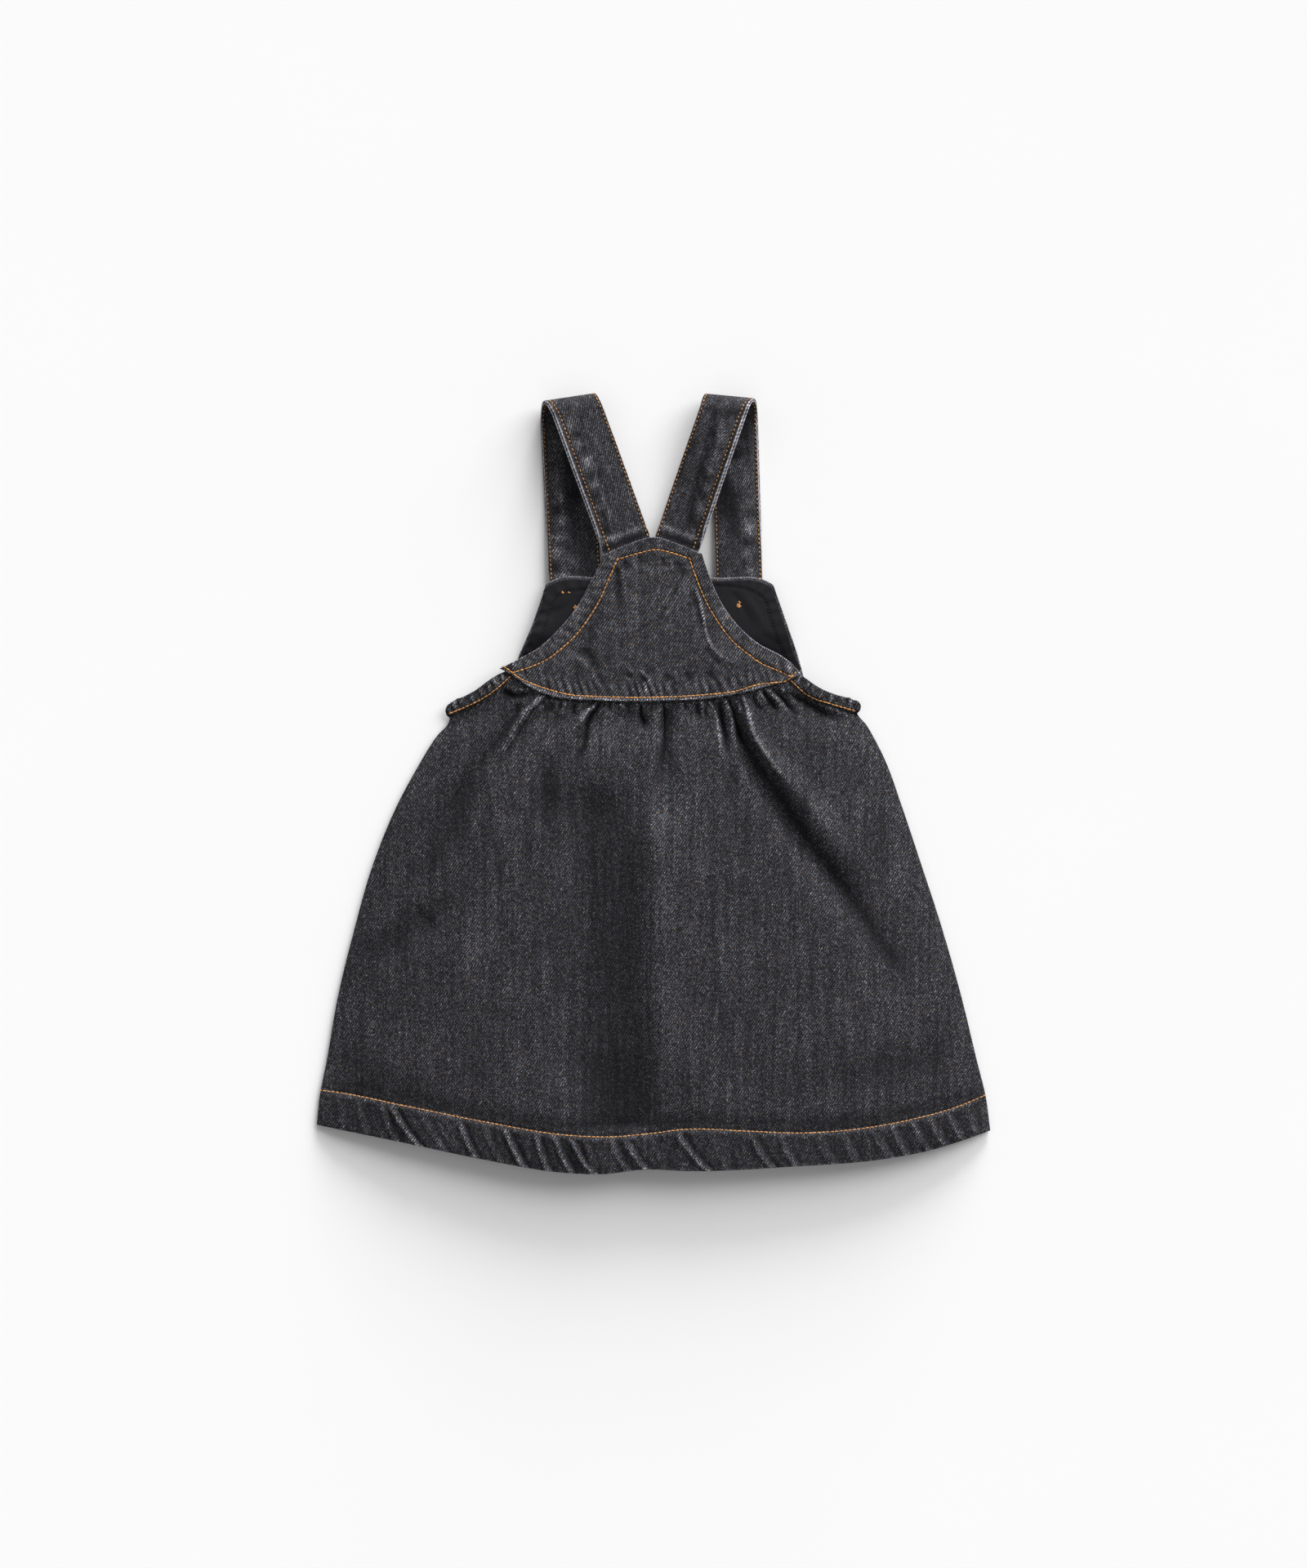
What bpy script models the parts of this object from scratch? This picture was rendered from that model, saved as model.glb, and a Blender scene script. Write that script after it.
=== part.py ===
"""Baby's denim pinafore dress, laid on its front with the back up.

Every piece of cloth is a wall of its own, made from a surface that is worked
out from the sizes below. Plan sizes are in millimetres, with +X to the right,
+Y towards the straps and +Z up from the surface that the dress lies on.
"""

import math

import bmesh
import bpy
import numpy as np

MM = 0.001

# Cloth walls and the gap that parts one piece from the next.
DENIM_WALL = 1.2
LINING_WALL = 1.0
STRAP_WALL = 2.4
BAND_WALL = 1.6
SEAM_GAP = 0.3

# Skirt: height of the back panel over the surface, and how it rounds off.
SIDE_HEIGHT = DENIM_WALL * 1.5 + SEAM_GAP
SEAM_HEIGHT = 8.0
HEM_HEIGHT = 17.5
RISE_SHARE = 0.18
CROWN_POWER = 2.6
CROWN_ROUND = 0.8
UNDERARM_X = 126.0
UNDERARM_RUN = 38.0
SEAM_SHARE = 0.022
PUFF_SHARE = 0.14
FOLD_START_SHARE = 2.4 * SEAM_SHARE
SIDE_FADE = 0.07

# Skirt grid, with closer rows at the gathers and at the hem.
SKIRT_COLUMNS = 84
SKIRT_ROWS = 26
ROW_CLOSENESS = 0.76
FRONT_COLUMNS = 36
FRONT_SEAM_ROWS = (0.0, 0.022, 0.05)
FRONT_FIRST_ROW = 0.1
FRONT_ROWS = 9

# Turned hem.
HEM_SHARE = 0.917
HEM_FADE = (-0.01, 0.012)
HEM_STEP = 0.7
PUCKER_PITCH = 14.0
PUCKER_DEPTH = 0.8
PUCKER_LEAN = 0.45

# Yoke and bib.
YOKE_HEIGHT = 9.6
YOKE_CROWN = 1.2
YOKE_MARGIN = 8.0
YOKE_MARGIN_STEP = 0.5
YOKE_PUCKER_PITCH = 8.5
YOKE_PUCKER_DEPTH = 0.35
YOKE_CROWN_RUN = 30.0
YOKE_COLUMNS = 36
BODICE_ROWS = 11
BIB_COLUMNS = 16
BIB_LOW = DENIM_WALL / 2
BIB_HIGH = 6.0
BIB_FLAT_STRIP = 5.5
BIB_RISE_END = 34.0
BIB_LAP = 4.0
LINING_INSET = 1.2
LINING_WIDTH_SHARE = 0.985
BIB_TUCK = 1.0

# Underarm bands: fractions of the back skirt's width and length that they cover.
BAND_ENDS = {"left": (0.0, 0.126), "right": (1.0, 0.878)}
BAND_DEPTH_SHARE = 0.028
BAND_COLUMNS = 12
BAND_ROWS = 3

# Straps.
STRAP_WIDTH = 31.5
STRAP_TUCK = 4.0
STRAP_LOOP_RADIUS = 8.5
STRAP_LOOP_FLARE = 0.8
STRAP_ROLL = 2.2
STRAP_YOKE_HEIGHT = 7.4
STRAP_FLOOR_HEIGHT = 1.3
STRAP_BIB_HEIGHT = 3.9
STRAP_END_Y = 97.5
STRAP_RISE_Y = (128.0, 175.0)
STRAP_COLUMNS = 4
STRAP_BACK_ROWS = 9
STRAP_LOOP_ROWS = 12
STRAP_FRONT_ROWS = 10
STRAP_LOOP_LEAD = 4.0
STRAP_FRONT_LEAD = 14.0

# Buttons on the strap ends, turned towards the surface.
BUTTON_RADIUS = 7.5
BUTTON_HEIGHT = 2.4
BUTTON_RIM = 2.0
BUTTON_DISH = 0.6
BUTTON_HOLE_RADIUS = 0.9
BUTTON_HOLE_OFFSET = 1.7
BUTTON_EDGE = [
    (1.6, BUTTON_HEIGHT), (0.3, BUTTON_HEIGHT - 0.7), (0.0, BUTTON_HEIGHT / 2), (0.5, 0.3), (1.0, 0.0),
    (BUTTON_RIM, 0.0), (BUTTON_RIM + 0.6, BUTTON_DISH),
]
BUTTON_SIDES = 28
BUTTON_HOLE_SIDES = 8

# Outline of the skirt back in plan, x and y.
SKIRT_LEFT = [
    (-125.2, 44.5), (-126.5, 37.0), (-132.6, 29.0), (-144.3, 10.0), (-155.2, -10.0), (-171.8, -50.0),
    (-183.2, -90.0), (-193.0, -130.0), (-200.0, -170.0), (-204.0, -190.0), (-206.0, -208.5),
]
SKIRT_RIGHT = [
    (125.4, 44.5), (128.0, 38.0), (133.0, 30.0), (143.5, 10.0), (150.6, -10.0), (164.0, -50.0),
    (177.0, -90.0), (188.3, -130.0), (198.0, -170.0), (203.0, -190.0), (206.0, -212.0),
]
SKIRT_BACK_TOP = [
    (-125.2, 44.5), (-122.5, 49.3), (-110.0, 56.6), (-96.0, 65.3), (-88.0, 69.4), (-80.0, 67.5),
    (-70.0, 61.8), (-58.0, 58.0), (-36.0, 56.0), (2.0, 55.5), (40.5, 58.0), (62.0, 62.0),
    (74.0, 66.3), (84.0, 68.4), (91.0, 65.0), (101.0, 58.8), (112.0, 54.6), (122.5, 50.6), (125.4, 44.5),
]
SKIRT_BACK_HEM = [
    (-206.0, -208.5), (-155.0, -218.5), (-105.0, -228.8), (-55.0, -237.0), (-30.0, -237.8),
    (-5.0, -235.0), (20.0, -236.0), (82.0, -233.5), (145.0, -228.3),
    (170.0, -223.5), (193.0, -216.5), (206.0, -212.0),
]

# Front skirt: a little inside the back, its top edge behind the bib.
FRONT_INSET = 0.6
SKIRT_FRONT_HEM = [
    (-205.4, -207.9), (-155.0, -218.0), (-105.0, -227.5), (-30.0, -234.6), (45.0, -235.0),
    (95.0, -233.6), (145.0, -227.6), (182.0, -219.0), (205.4, -211.4),
]
SKIRT_FRONT_UNDERARM = {"left": [(-109.5, 54.5), (-97.0, 63.0)], "right": [(103.0, 57.0)]}
FRONT_LIFT_SIDES = (20.0, 9.0)
FRONT_LIFT_RUN = (-12.0, -4.0)
BIB_BOTTOM = [
    (-86.5, 66.0), (-74.0, 60.5), (-50.0, 55.5), (0.0, 53.0), (50.0, 55.5), (76.0, 60.5), (92.0, 65.5),
]
BIB_TOP = [
    (-67.0, 117.5), (-65.5, 122.3), (-61.0, 124.8), (-30.0, 126.0), (3.0, 126.6),
    (40.0, 126.0), (69.0, 124.2), (72.8, 122.0), (74.7, 117.5),
]
BIB_LEFT = [(-67.0, 117.5), (-75.5, 94.0), (-82.5, 78.0), (-86.5, 66.0)]
BIB_RIGHT = [(74.7, 117.5), (83.0, 94.0), (88.5, 78.0), (92.0, 65.5)]

YOKE_TOP = [(-31.0, 139.8), (-16.0, 146.2), (0.6, 150.8), (15.0, 146.6), (29.5, 140.8)]
YOKE_LEFT = [
    (-31.0, 139.8), (-33.0, 134.0), (-39.0, 122.5), (-46.5, 108.5), (-58.0, 94.5),
    (-70.5, 83.0), (-81.0, 77.0), (-94.0, 70.5),
]
YOKE_RIGHT = [
    (29.5, 140.8), (34.0, 127.5), (40.5, 112.5), (50.5, 98.0), (64.5, 85.5),
    (78.5, 78.0), (86.0, 72.0), (90.0, 66.8),
]
YOKE_BOTTOM = [
    (-94.0, 70.5), (-87.5, 67.0), (-74.5, 58.5), (-62.0, 53.5), (-36.0, 51.0), (2.0, 50.5),
    (40.5, 53.0), (66.0, 58.5), (83.5, 64.0), (90.0, 66.8),
]

# Folds of the back skirt: depth (below zero for a trough), half width at the
# start and at the end, and the line that each one follows down the panel.
FOLDS = [
    {"depth": -2.6, "start": 3.0, "end": 9.0,
     "line": [(-81.0, 52.0), (-84.5, 41.0), (-99.0, 16.5), (-113.5, 0.0), (-149.0, -62.0)]},
    {"depth": 2.4, "start": 2.6, "end": 5.0, "line": [(-66.0, 54.0), (-94.5, 18.5), (-112.0, -8.0)]},
    {"depth": -1.9, "start": 2.6, "end": 5.0, "line": [(-61.0, 52.0), (-87.0, 22.0), (-100.0, 0.0)]},
    {"depth": 1.3, "start": 2.2, "end": 3.0, "line": [(-56.0, 52.0), (-58.0, 38.0)]},
    {"depth": 1.6, "start": 2.4, "end": 4.0, "line": [(-38.5, 49.0), (-48.0, 34.0), (-55.0, 14.0)]},
    {"depth": -2.3, "start": 2.4, "end": 4.0, "line": [(-34.0, 51.0), (-41.0, 37.0), (-48.0, 11.0)]},
    {"depth": 1.4, "start": 2.4, "end": 4.5, "line": [(-25.0, 50.0), (-29.0, 30.0), (-31.0, 5.0)]},
    {"depth": -1.2, "start": 2.2, "end": 3.5, "line": [(-18.0, 50.0), (-19.0, 34.0)]},
    {"depth": -1.8, "start": 2.4, "end": 3.5, "line": [(-8.0, 50.0), (-6.0, 32.0)]},
    {"depth": 1.7, "start": 2.4, "end": 5.0, "line": [(0.5, 50.0), (-1.0, 28.0), (-6.0, -4.0)]},
    {"depth": -2.2, "start": 2.6, "end": 7.0, "line": [(7.0, 50.0), (6.5, 30.0), (2.0, -4.0)]},
    {"depth": 1.3, "start": 2.4, "end": 4.0, "line": [(16.5, 50.0), (17.0, 30.0)]},
    {"depth": -1.7, "start": 2.8, "end": 4.0, "line": [(26.0, 50.0), (27.0, 36.0)]},
    {"depth": 1.5, "start": 2.2, "end": 5.0, "line": [(32.5, 51.5), (37.5, 34.0), (43.0, 8.0)]},
    {"depth": -2.0, "start": 2.2, "end": 4.0, "line": [(37.5, 51.5), (42.0, 32.0), (47.0, 12.0)]},
    {"depth": 1.8, "start": 2.0, "end": 4.0, "line": [(43.0, 53.0), (47.0, 36.0), (53.0, 14.0)]},
    {"depth": -5.2, "start": 3.2, "end": 13.0,
     "line": [(48.5, 52.0), (50.5, 32.0), (63.0, 5.0), (84.0, -27.0), (116.0, -69.0), (152.0, -117.0)]},
    {"depth": 3.6, "start": 2.6, "end": 11.0,
     "line": [(56.0, 54.0), (59.5, 32.0), (76.0, 9.0), (106.0, -29.0), (134.0, -66.0)]},
    {"depth": -1.6, "start": 2.2, "end": 3.0, "line": [(65.0, 57.0), (75.5, 43.0)]},
    {"depth": 1.2, "start": 2.0, "end": 3.0, "line": [(70.0, 58.0), (80.0, 42.0)]},
    {"depth": -1.6, "start": 2.2, "end": 3.0, "line": [(74.5, 59.0), (86.0, 41.0)]},
    {"depth": -2.0, "start": 3.0, "end": 5.0, "line": [(88.0, 54.0), (102.0, 44.0), (121.0, 34.0)]},
    {"depth": -1.8, "start": 3.0, "end": 4.0, "line": [(-93.0, 58.0), (-85.0, 50.0)]},
    {"depth": -1.8, "start": 5.0, "end": 6.0, "line": [(-64.0, 24.0), (-65.0, 2.0), (-67.5, -34.0)]},
    {"depth": -3.2, "start": 14.0, "end": 24.0, "line": [(-40.0, 15.0), (-48.0, -80.0), (-46.0, -236.0)]},
    {"depth": 2.6, "start": 12.0, "end": 24.0, "line": [(4.0, -10.0), (6.0, -90.0), (8.0, -236.0)]},
    {"depth": -1.8, "start": 8.0, "end": 12.0, "line": [(-136.0, -78.0), (-172.0, -108.0)]},
]
FOLD_FADE_IN = 0.12
FOLD_FADE_OUT = 0.45

# One row for each strap: middle of its seam on the yoke, middle of the top of
# its loop, how far the front leg turns from straight down, in degrees, and how
# far the cloth slips outwards as it goes round the loop.
STRAPS = [
    {"side": "left", "yoke": (-16.8, 146.2), "loop": (-49.6, 235.6), "front_turn": 3.0, "slip": 2.6,
     "button": (-48.5, 108.5)},
    {"side": "right", "yoke": (16.0, 146.6), "loop": (47.0, 235.8), "front_turn": 1.7, "slip": -1.6,
     "button": (52.5, 108.8)},
]

# Colour, roughness: the cloth is washed near-black denim over a cotton lining.
FINISHES = {
    "denim": ((0.032, 0.031, 0.036, 1.0), 0.88),
    "yoke_denim": ((0.045, 0.044, 0.050, 1.0), 0.88),
    "strap_denim": ((0.055, 0.054, 0.062, 1.0), 0.88),
    "lining": ((0.014, 0.014, 0.017, 1.0), 0.92),
    "button": ((0.060, 0.052, 0.045, 1.0), 0.45),
}


def clear_scene():
    """Remove every object, so that only the dress is left."""
    for scene_object in list(bpy.data.objects):
        bpy.data.objects.remove(scene_object, do_unlink=True)


def new_collection(name):
    """Make a collection in the scene."""
    collection = bpy.data.collections.new(name)
    bpy.context.scene.collection.children.link(collection)
    return collection


def new_material(name, finish):
    """Make a Principled material for one piece."""
    colour, roughness = FINISHES[finish]
    material = bpy.data.materials.new(name)
    material.use_nodes = True
    shader = material.node_tree.nodes["Principled BSDF"]
    shader.inputs["Base Color"].default_value = colour
    shader.inputs["Roughness"].default_value = roughness
    shader.inputs["Metallic"].default_value = 0.0
    return material


def smooth_step(value, start, end):
    """Ease from 0 at start to 1 at end."""
    part = np.clip((value - start) / (end - start), 0.0, 1.0)
    return part * part * (3.0 - 2.0 * part)


def plan_curve(points, steps=800):
    """Smooth curve through the points, read by the fraction of its length."""
    points = np.array(points, dtype=float)
    chord = np.concatenate([[0.0], np.cumsum(np.linalg.norm(np.diff(points, axis=0), axis=1))])
    slope = np.gradient(points, chord, axis=0)
    at = np.linspace(0.0, chord[-1], steps)
    span = np.clip(np.searchsorted(chord, at, side="right") - 1, 0, len(points) - 2)
    width = (chord[span + 1] - chord[span])[:, None]
    part = (at - chord[span])[:, None] / width
    line = (
        (2 * part**3 - 3 * part**2 + 1) * points[span]
        + (part**3 - 2 * part**2 + part) * width * slope[span]
        + (3 * part**2 - 2 * part**3) * points[span + 1]
        + (part**3 - part**2) * width * slope[span + 1]
    )
    run = np.concatenate([[0.0], np.cumsum(np.linalg.norm(np.diff(line, axis=0), axis=1))])

    def at_fraction(fraction):
        length = np.asarray(fraction) * run[-1]
        return np.stack([np.interp(length, run, line[:, 0]), np.interp(length, run, line[:, 1])], axis=-1)

    return at_fraction


def panel_plan(top, bottom, left, right):
    """Plan of a panel between its four edges, read across (s) and down (t)."""
    top, bottom, left, right = (plan_curve(edge) for edge in (top, bottom, left, right))

    def at(s, t):
        s_column, t_column = s[..., None], t[..., None]
        between_ends = (1 - t_column) * top(s) + t_column * bottom(s)
        between_sides = (1 - s_column) * left(t) + s_column * right(t)
        corners = (1 - t_column) * ((1 - s_column) * top(0.0) + s_column * top(1.0))
        corners += t_column * ((1 - s_column) * bottom(0.0) + s_column * bottom(1.0))
        return between_ends + between_sides - corners

    return at


def line_distance(x, y, line):
    """Distance to a line of points, and the fraction of its length there."""
    line = np.array(line, dtype=float)
    lengths = np.linalg.norm(np.diff(line, axis=0), axis=1)
    before = np.concatenate([[0.0], np.cumsum(lengths)])
    nearest = np.full(x.shape, np.inf)
    along = np.zeros(x.shape)
    for start, end, length, done in zip(line[:-1], line[1:], lengths, before):
        step = (end - start) / length
        run = np.clip((x - start[0]) * step[0] + (y - start[1]) * step[1], 0.0, length)
        away = np.hypot(x - start[0] - run * step[0], y - start[1] - run * step[1])
        closer = away < nearest
        nearest = np.where(closer, away, nearest)
        along = np.where(closer, (done + run) / before[-1], along)
    return nearest, along


def fold_relief(x, y):
    """Height that the folds and gathers add to the back skirt."""
    relief = np.zeros(x.shape)
    for fold in FOLDS:
        away, along = line_distance(x, y, plan_curve(fold["line"], 60)(np.linspace(0.0, 1.0, 24)))
        half_width = fold["start"] + (fold["end"] - fold["start"]) * along
        fade = smooth_step(along, 0.0, FOLD_FADE_IN) * (1 - smooth_step(along, 1 - FOLD_FADE_OUT, 1.0))
        relief += fold["depth"] * fade * np.exp(-((away / half_width) ** 2))
    return relief


def puckers(run, pitch):
    """Uneven ripple from -1 to 1 along a seam."""
    drift = 1.9 * np.sin(run / (1.9 * pitch)) + 1.3 * np.sin(run / (1.1 * pitch) + 1.0)
    strength = 0.7 + 0.3 * np.sin(run / (1.4 * pitch) + 2.0)
    return strength * np.sin(2 * math.pi * run / pitch + drift)


def skirt_rows():
    """Fractions down the skirt, close together at both ends."""
    even = np.linspace(0.0, 1.0, SKIRT_ROWS + 1)
    return even - ROW_CLOSENESS * np.sin(2 * math.pi * even) / (2 * math.pi)


SKIRT_BACK_PLAN = panel_plan(SKIRT_BACK_TOP, SKIRT_BACK_HEM, SKIRT_LEFT, SKIRT_RIGHT)


def skirt_back_surface(s, t):
    """Middle of the back skirt's wall."""
    plan = SKIRT_BACK_PLAN(s, t)
    x, y = plan[..., 0], plan[..., 1]
    across = np.abs(2 * s - 1)
    rise = 1 - np.exp(-np.clip(t - SEAM_SHARE, 0.0, 1.0) / RISE_SHARE)
    middle = SEAM_HEIGHT + (HEM_HEIGHT - SEAM_HEIGHT) * rise
    crown = np.clip(1 - across**CROWN_POWER, 0.0, 1.0) ** CROWN_ROUND
    puff = SIDE_HEIGHT + (middle - SIDE_HEIGHT) * crown
    from_underarm = smooth_step(UNDERARM_X - np.abs(x), 0.0, UNDERARM_RUN)
    top_edge = SIDE_HEIGHT + (SEAM_HEIGHT - SIDE_HEIGHT) * from_underarm
    height = top_edge + (puff - top_edge) * smooth_step(t, SEAM_SHARE, PUFF_SHARE)
    side = smooth_step(1 - across, 0.0, SIDE_FADE)
    height += fold_relief(x, y) * side * smooth_step(t, SEAM_SHARE, FOLD_START_SHARE)
    hem = smooth_step(t, HEM_SHARE + HEM_FADE[0], HEM_SHARE + HEM_FADE[1])
    ripple = PUCKER_DEPTH * puckers(x + PUCKER_LEAN * y, PUCKER_PITCH)
    height += side * hem * (HEM_STEP + ripple)
    return np.stack([x, y, height], axis=-1)


BIB_EDGE = np.array(BIB_BOTTOM)


def bib_height(x, y):
    """Middle of the bib's wall: flat at its seam, raised over the strap ends."""
    above_seam = y - np.interp(x, BIB_EDGE[:, 0], BIB_EDGE[:, 1])
    return BIB_LOW + (BIB_HIGH - BIB_LOW) * smooth_step(above_seam, BIB_FLAT_STRIP, BIB_RISE_END)


def bib_surface(plan, lift):
    """Surface of the bib or its lining, over the same plan."""

    def at(s, t):
        point = plan(s, t)
        x, y = point[..., 0], point[..., 1]
        return np.stack([x, y, bib_height(x, y) + lift], axis=-1)

    return at


def skirt_front_surface():
    """Middle of the front skirt's wall: flat, its top edge behind the bib."""
    left = [(x + FRONT_INSET, y) for x, y in SKIRT_LEFT]
    right = [(x - FRONT_INSET, y) for x, y in SKIRT_RIGHT]
    left[-1], right[-1] = SKIRT_FRONT_HEM[0], SKIRT_FRONT_HEM[-1]
    behind_bib = [(x, y + BIB_LAP) for x, y in BIB_BOTTOM]
    behind_bib[0] = (behind_bib[0][0] + BIB_TUCK, behind_bib[0][1] - BIB_TUCK)
    behind_bib[-1] = (behind_bib[-1][0] - BIB_TUCK, behind_bib[-1][1] - BIB_TUCK)
    underarm = SKIRT_FRONT_UNDERARM
    top = [left[0]] + underarm["left"] + behind_bib + underarm["right"] + [right[0]]
    plan = panel_plan(top, SKIRT_FRONT_HEM, left, right)
    bib_left, bib_right = BIB_EDGE[0, 0], BIB_EDGE[-1, 0]

    def at(s, t):
        point = plan(s, t)
        x, y = point[..., 0], point[..., 1]
        above_seam = y - np.interp(x, BIB_EDGE[:, 0], BIB_EDGE[:, 1])
        far, near = FRONT_LIFT_SIDES
        within = smooth_step(x, bib_left - far, bib_left - near)
        within *= smooth_step(-x, -bib_right - far, -bib_right - near)
        lift = (DENIM_WALL + SEAM_GAP) * smooth_step(above_seam, *FRONT_LIFT_RUN) * within
        return np.stack([x, y, DENIM_WALL / 2 + lift], axis=-1)

    return at


YOKE_PLAN = panel_plan(YOKE_TOP, YOKE_BOTTOM, YOKE_LEFT, YOKE_RIGHT)


def yoke_surface(s, t):
    """Middle of the yoke's wall, thicker and puckered along its edges."""
    plan = YOKE_PLAN(s, t)
    x, y = plan[..., 0], plan[..., 1]
    edges = [line_distance(x, y, plan_curve(edge)(np.linspace(0.0, 1.0, 40))) for edge in
             (YOKE_LEFT, YOKE_RIGHT, YOKE_BOTTOM)]
    armhole = np.minimum(edges[0][0], edges[1][0])
    seam = edges[2][0]
    inside = smooth_step(np.minimum(armhole, seam), 0.0, YOKE_CROWN_RUN)
    margin = 1 - smooth_step(np.minimum(armhole, 2.5 * seam), YOKE_MARGIN - 1.5, YOKE_MARGIN + 1.5)
    ripple = (1 + puckers(x, YOKE_PUCKER_PITCH)) * np.exp(-((seam - 5.0) / 5.0) ** 2)
    ripple += (1 + puckers(y, YOKE_PUCKER_PITCH)) * np.exp(-((armhole - 6.0) / 3.0) ** 2)
    height = YOKE_HEIGHT + YOKE_CROWN * inside + YOKE_MARGIN_STEP * margin + YOKE_PUCKER_DEPTH * ripple
    return np.stack([x, y, height], axis=-1)


def band_surface(start, end):
    """Underarm band on the back skirt, made from the panel's points moved out."""
    lift = DENIM_WALL / 2 + SEAM_GAP + BAND_WALL / 2

    def at(s, t):
        point = skirt_back_surface(start + (end - start) * s, t * BAND_DEPTH_SHARE)
        point[..., 2] += lift
        return point

    return at


def strap_surface(strap):
    """Strap from the yoke, round its loop and down to the bib."""
    yoke, loop = np.array(strap["yoke"]), np.array(strap["loop"])
    run = (loop - yoke) / np.linalg.norm(loop - yoke)
    outward = np.array([run[1], -run[0]])
    if outward[0] * yoke[0] < 0:
        outward = -outward
    back_angle = math.atan2(run[1], run[0])
    front_angle = math.radians(270.0 + strap["front_turn"])
    fold_angle = (back_angle + front_angle) / 2
    fold = np.array([math.cos(fold_angle), math.sin(fold_angle)])
    side_sign = math.copysign(1.0, fold[0] * outward[0])
    past_fold = np.array([fold[1], -fold[0]])
    if past_fold[1] < 0:
        past_fold = -past_fold
    bend_start = loop @ past_fold - STRAP_LOOP_RADIUS
    along_past = run @ past_fold
    back_length = (bend_start - yoke @ past_fold) / along_past
    bend_length = math.pi * STRAP_LOOP_RADIUS / along_past
    front_from = back_length + bend_length
    front_top = (yoke + front_from * run) @ fold * fold + bend_start * past_fold
    front_length = (front_top[1] - STRAP_END_Y) / abs(math.sin(front_angle))

    def at(s, a):
        b = (s - 0.5) * STRAP_WIDTH
        flat_x = yoke[0] + a * run[0] + b * outward[0]
        flat_y = yoke[1] + a * run[1] + b * outward[1]
        along_fold = flat_x * fold[0] + flat_y * fold[1]
        over = flat_x * past_fold[0] + flat_y * past_fold[1] - bend_start
        edge = b / (STRAP_WIDTH / 2)
        radius = STRAP_LOOP_RADIUS + STRAP_LOOP_FLARE * edge
        turn = np.clip(over / radius, 0.0, math.pi)
        reach = np.where(over < 0, over, np.where(turn < math.pi, radius * np.sin(turn),
                                                  -(over - math.pi * radius)))
        reach += bend_start
        along_fold = along_fold + strap["slip"] * side_sign * turn / math.pi
        x = along_fold * fold[0] + reach * past_fold[0]
        y = along_fold * fold[1] + reach * past_fold[1]
        loop_height = STRAP_FLOOR_HEIGHT + radius * (1 + np.cos(turn))
        risen = np.clip(a / back_length, 0.0, 1.0)
        back_height = STRAP_YOKE_HEIGHT + (loop_height - STRAP_YOKE_HEIGHT) * smooth_step(risen, -0.02, 1.0)
        back_height += STRAP_ROLL * edge * np.sin(math.pi * risen)
        on_bib = 1 - smooth_step(y, *STRAP_RISE_Y)
        front_height = loop_height + (STRAP_BIB_HEIGHT - STRAP_FLOOR_HEIGHT) * on_bib
        height = np.where(over < 0, back_height, np.where(turn < math.pi, loop_height, front_height))
        return np.stack([x, y, height], axis=-1)

    stations = np.concatenate([
        [-STRAP_TUCK],
        np.linspace(0.5, back_length - STRAP_LOOP_LEAD, STRAP_BACK_ROWS),
        np.linspace(back_length, front_from + STRAP_LOOP_LEAD, STRAP_LOOP_ROWS),
        np.linspace(front_from + STRAP_FRONT_LEAD, front_from + front_length, STRAP_FRONT_ROWS),
    ])
    return at, stations


def grid_shell(name, points, wall, finish, collection):
    """One closed wall of cloth round a grid of middle points."""
    rows, columns = points.shape[:2]
    mesh = bpy.data.meshes.new(name)
    sheet = bmesh.new()
    vertices = [[sheet.verts.new(point * MM) for point in row] for row in points]
    for row in range(rows - 1):
        for column in range(columns - 1):
            sheet.faces.new((
                vertices[row][column], vertices[row + 1][column],
                vertices[row + 1][column + 1], vertices[row][column + 1],
            ))
    bmesh.ops.recalc_face_normals(sheet, faces=sheet.faces)
    sheet.to_mesh(mesh)
    sheet.free()
    mesh.shade_smooth()
    mesh.set_sharp_from_angle(angle=math.radians(50))
    mesh.materials.append(new_material(name + "_finish", finish))
    shell = bpy.data.objects.new(name, mesh)
    collection.objects.link(shell)
    solidify = shell.modifiers.new("wall", "SOLIDIFY")
    solidify.thickness = wall * MM
    solidify.offset = 0.0
    solidify.use_even_offset = True
    return shell


def panel_shell(name, surface, columns, rows, wall, finish, collection):
    """Wall over a surface that is read across (s) and down (t)."""
    s, t = np.meshgrid(np.linspace(0.0, 1.0, columns + 1), rows)
    return grid_shell(name, surface(s, t), wall, finish, collection)


def build_skirt(collection):
    """Back skirt, front skirt and the bands that finish the underarm edges."""
    panel_shell("skirt_back", skirt_back_surface, SKIRT_COLUMNS, skirt_rows(), DENIM_WALL, "denim",
                collection)
    front = skirt_front_surface()
    front_rows = np.concatenate([FRONT_SEAM_ROWS, np.linspace(FRONT_FIRST_ROW, 1.0, FRONT_ROWS + 1)])
    panel_shell("skirt_front", front, FRONT_COLUMNS, front_rows, DENIM_WALL, "denim", collection)
    band_rows = np.linspace(0.0, 1.0, BAND_ROWS + 1)
    for side, (start, end) in BAND_ENDS.items():
        panel_shell("underarm_band_" + side, band_surface(start, end), BAND_COLUMNS, band_rows, BAND_WALL,
                    "denim", collection)


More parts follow.
